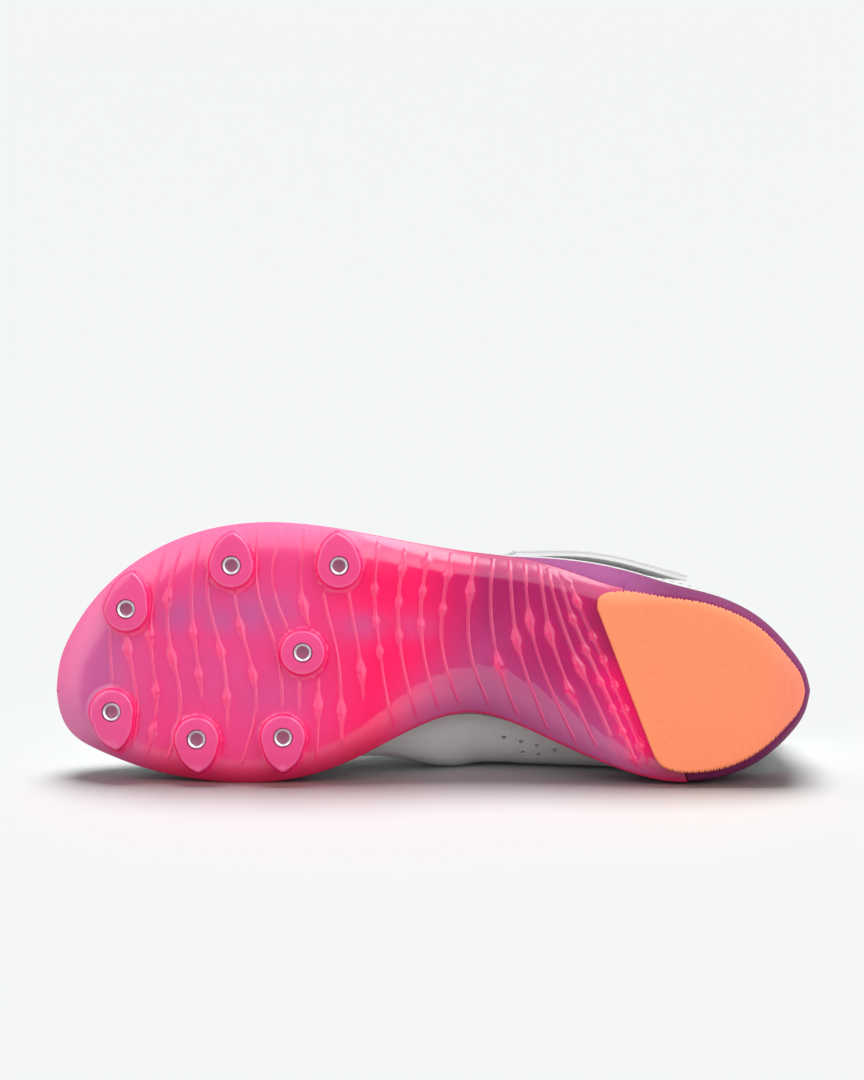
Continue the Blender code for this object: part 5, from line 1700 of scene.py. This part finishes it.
def build_stitching(sizes, colours):
    """Lock stitches along the upper edges of the heel counter and toe guard."""
    forms = bmesh.new()
    long = sizes.stitch / MM
    scale = Matrix.Diagonal((long / 2, *STITCH_HALF, 1))
    for line, seam in ((heel_counter, COUNTER_SEAM_X), (toe_guard, GUARD_SEAM_X)):
        x = np.arange(*seam, long * STITCH_SPACING)
        for side in (OUTER, INNER):
            around = np.array([round_share(side, place) for place in x])
            points = off_upper(around, line(x) - SEAM_INSET, sizes.overlay / MM + SEAM_STAND)
            for place, ahead in zip(points, points[1:]):
                turn = Vector(ahead - place).to_track_quat("X", "Z").to_matrix().to_4x4()
                matrix = Matrix.Translation(Vector(place)) @ turn @ scale
                bmesh.ops.create_icosphere(forms, subdivisions=1, radius=1, matrix=matrix)
    paint, tree, shader = finish("stitch thread", Roughness=0.6, Sheen_Weight=0.2)
    tone = ranged(tree, grain(tree, 2500.0), 0.8, 1.0)
    connect(tree, shader, {"Base Color": toned(tree, colours.layer, tone)})
    return make_piece("stitching", forms, [paint], sharp=80)


# Stage

def build_world(stage, colours):
    """A studio with bright walls, dimmer behind the camera, that the camera itself sees as plain."""
    world = bpy.data.worlds.new("studio")
    world.use_nodes = True
    tree = world.node_tree
    tree.nodes.clear()
    way = node(tree, "SeparateXYZ", {0: node(tree, "TexCoord").outputs["Generated"]})
    behind, beside = SURROUND_TURN
    front = node(tree, "MapRange", {0: way.outputs[1], 1: behind, 2: beside, 3: stage.front_surround,
                                    4: stage.surround}, interpolation_type="SMOOTHSTEP").outputs[0]
    walls = node(tree, "Background", {"Color": (1, 1, 1, 1), "Strength": front}).outputs[0]
    plain = node(tree, "Background", {"Color": colours.floor, "Strength": 1.0}).outputs[0]
    seen = node(tree, "LightPath").outputs["Is Camera Ray"]
    mixed = node(tree, "MixShader", {0: seen, 1: walls, 2: plain}).outputs[0]
    node(tree, "OutputWorld", {"Surface": mixed})
    bpy.context.scene.world = world


def build_light(name, strength, source, width, lit):
    """A round softbox far away in the direction of its source, that lights what a collection says."""
    light = bpy.data.lights.new(name, "SUN")
    light.energy = strength
    light.angle = math.radians(width)
    lamp = bpy.data.objects.new(name, light)
    lamp.rotation_euler = Vector(source).to_track_quat("Z", "Y").to_euler()
    lamp.location = Vector(source).normalized() * LAMP_DISTANCE
    lamp.light_linking.receiver_collection = lit
    bpy.context.scene.collection.objects.link(lamp)


def build_floor(stage, colours):
    """A pale floor, and two collections for lamps: one that lights it alone and one that leaves it out."""
    bm = bmesh.new()
    bmesh.ops.create_grid(bm, x_segments=2, y_segments=2, size=stage.floor_size)
    bmesh.ops.translate(bm, vec=(0, 0, CAD_LOW.z - FLOOR_GAP * MM), verts=bm.verts)
    mesh = bpy.data.meshes.new("studio_floor")
    bm.to_mesh(mesh)
    bm.free()
    paint, tree, shader = finish("pale floor", Specular_IOR_Level=0.1, Roughness=0.8)
    tone = ranged(tree, grain(tree, 400.0), 0.995, 1.005)
    connect(tree, shader, {"Base Color": toned(tree, colours.floor, tone)})
    mesh.materials.append(paint)
    floor = bpy.data.objects.new("studio_floor", mesh)
    bpy.context.scene.collection.objects.link(floor)
    lit = {}
    for state in ("INCLUDE", "EXCLUDE"):
        lit[state] = bpy.data.collections.new(f"floor_{state.lower()}d")
        lit[state].objects.link(floor)
        lit[state].collection_objects[0].light_linking.link_state = state
    return lit["INCLUDE"], lit["EXCLUDE"]


def build_camera(stage):
    """Looks square at the sole, as far off as a long lens would."""
    target = SHOE @ Vector(FRAME_CENTRE)
    back = (SHOE.to_3x3() @ Vector((0, 0, -1))).normalized()
    lens = bpy.data.cameras.new("camera")
    lens.lens = lens.sensor_width * stage.distance / (FRAME_HEIGHT * MM)
    lens.clip_end = CAMERA_REACH
    camera = bpy.data.objects.new("camera", lens)
    camera.location = target + back * stage.distance
    camera.rotation_euler = (-back).to_track_quat("-Z", "Y").to_euler()
    bpy.context.scene.collection.objects.link(camera)
    bpy.context.scene.camera = camera


# Operators

class SPIKE_OT_plate(bpy.types.Operator):
    """Model the outsole plate with its ribs, studs and spike pods"""

    bl_idname = "spike.plate"
    bl_label = "Ribbed plate"

    def execute(self, context):
        build_plate(context.scene.spike_sizes, context.scene.spike_colours)
        return {"FINISHED"}


class SPIKE_OT_sleeves(bpy.types.Operator):
    """Turn the seven threaded steel sleeves"""

    bl_idname = "spike.sleeves"
    bl_label = "Spike sleeves"

    def execute(self, context):
        build_sleeves(context.scene.spike_colours)
        return {"FINISHED"}


class SPIKE_OT_pad(bpy.types.Operator):
    """Model the heel pad with its toothed edge and small studs"""

    bl_idname = "spike.pad"
    bl_label = "Heel tread"

    def execute(self, context):
        build_pad(context.scene.spike_sizes, context.scene.spike_colours)
        return {"FINISHED"}


class SPIKE_OT_foam(bpy.types.Operator):
    """Model the foam midsole and the inner sole"""

    bl_idname = "spike.foam"
    bl_label = "Midsole and insole"

    def execute(self, context):
        sizes, colours = context.scene.spike_sizes, context.scene.spike_colours
        build_midsole(colours)
        build_insole(sizes, colours)
        return {"FINISHED"}


class SPIKE_OT_upper(bpy.types.Operator):
    """Model the upper with its binding, eyelets and stitching"""

    bl_idname = "spike.upper"
    bl_label = "Fabric upper"

    def execute(self, context):
        sizes, colours = context.scene.spike_sizes, context.scene.spike_colours
        build_upper(sizes, colours)
        build_binding(sizes, colours)
        build_eyelets(sizes, colours)
        build_stitching(sizes, colours)
        return {"FINISHED"}


class SPIKE_OT_closure(bpy.types.Operator):
    """Model the tongue, the lace and the strap over the instep"""

    bl_idname = "spike.closure"
    bl_label = "Tongue, lace and strap"

    def execute(self, context):
        sizes, colours = context.scene.spike_sizes, context.scene.spike_colours
        build_tongue(sizes, colours)
        build_lace(sizes, colours)
        build_strap(sizes, colours)
        return {"FINISHED"}


class SPIKE_OT_stage(bpy.types.Operator):
    """Set the floor, the light and the camera"""

    bl_idname = "spike.stage"
    bl_label = "Studio"

    def execute(self, context):
        stage, colours = context.scene.spike_stage, context.scene.spike_colours
        build_world(stage, colours)
        floor_alone, all_but_floor = build_floor(stage, colours)
        for name, (strength, source, width, on_floor) in LAMPS.items():
            lit = floor_alone if on_floor else all_but_floor
            build_light(name, getattr(stage, strength), source, width, lit)
        build_camera(stage)
        context.scene.view_settings.view_transform = "Standard"
        return {"FINISHED"}


OPERATORS = (SPIKE_OT_stage, SPIKE_OT_plate, SPIKE_OT_sleeves, SPIKE_OT_pad, SPIKE_OT_foam, SPIKE_OT_upper,
             SPIKE_OT_closure)


class SPIKE_PT_panel(bpy.types.Panel):
    """Lists the pieces of the shoe"""

    bl_idname = "SPIKE_PT_panel"
    bl_label = "Long jump spike"
    bl_space_type = "VIEW_3D"
    bl_region_type = "UI"
    bl_category = "Spike"

    def draw(self, context):
        for operator in OPERATORS:
            self.layout.operator(operator.bl_idname)
        for group in (context.scene.spike_sizes, context.scene.spike_colours, context.scene.spike_stage):
            box = self.layout.box()
            for name in group.bl_rna.properties.keys():
                if name not in {"rna_type", "name"}:
                    box.prop(group, name)


GROUPS = {"spike_sizes": SpikeSizes, "spike_colours": SpikeColours, "spike_stage": SpikeStage}


def register():
    for group in (*GROUPS.values(), *OPERATORS, SPIKE_PT_panel):
        bpy.utils.register_class(group)
    for name, group in GROUPS.items():
        setattr(bpy.types.Scene, name, bpy.props.PointerProperty(type=group))


def unregister():
    for name in GROUPS:
        delattr(bpy.types.Scene, name)
    for group in (SPIKE_PT_panel, *reversed(OPERATORS), *GROUPS.values()):
        bpy.utils.unregister_class(group)


def main():
    register()
    bpy.ops.spike.stage()
    bpy.ops.spike.plate()
    bpy.ops.spike.sleeves()
    bpy.ops.spike.pad()
    bpy.ops.spike.foam()
    bpy.ops.spike.upper()
    bpy.ops.spike.closure()


if __name__ == "__main__":
    main()
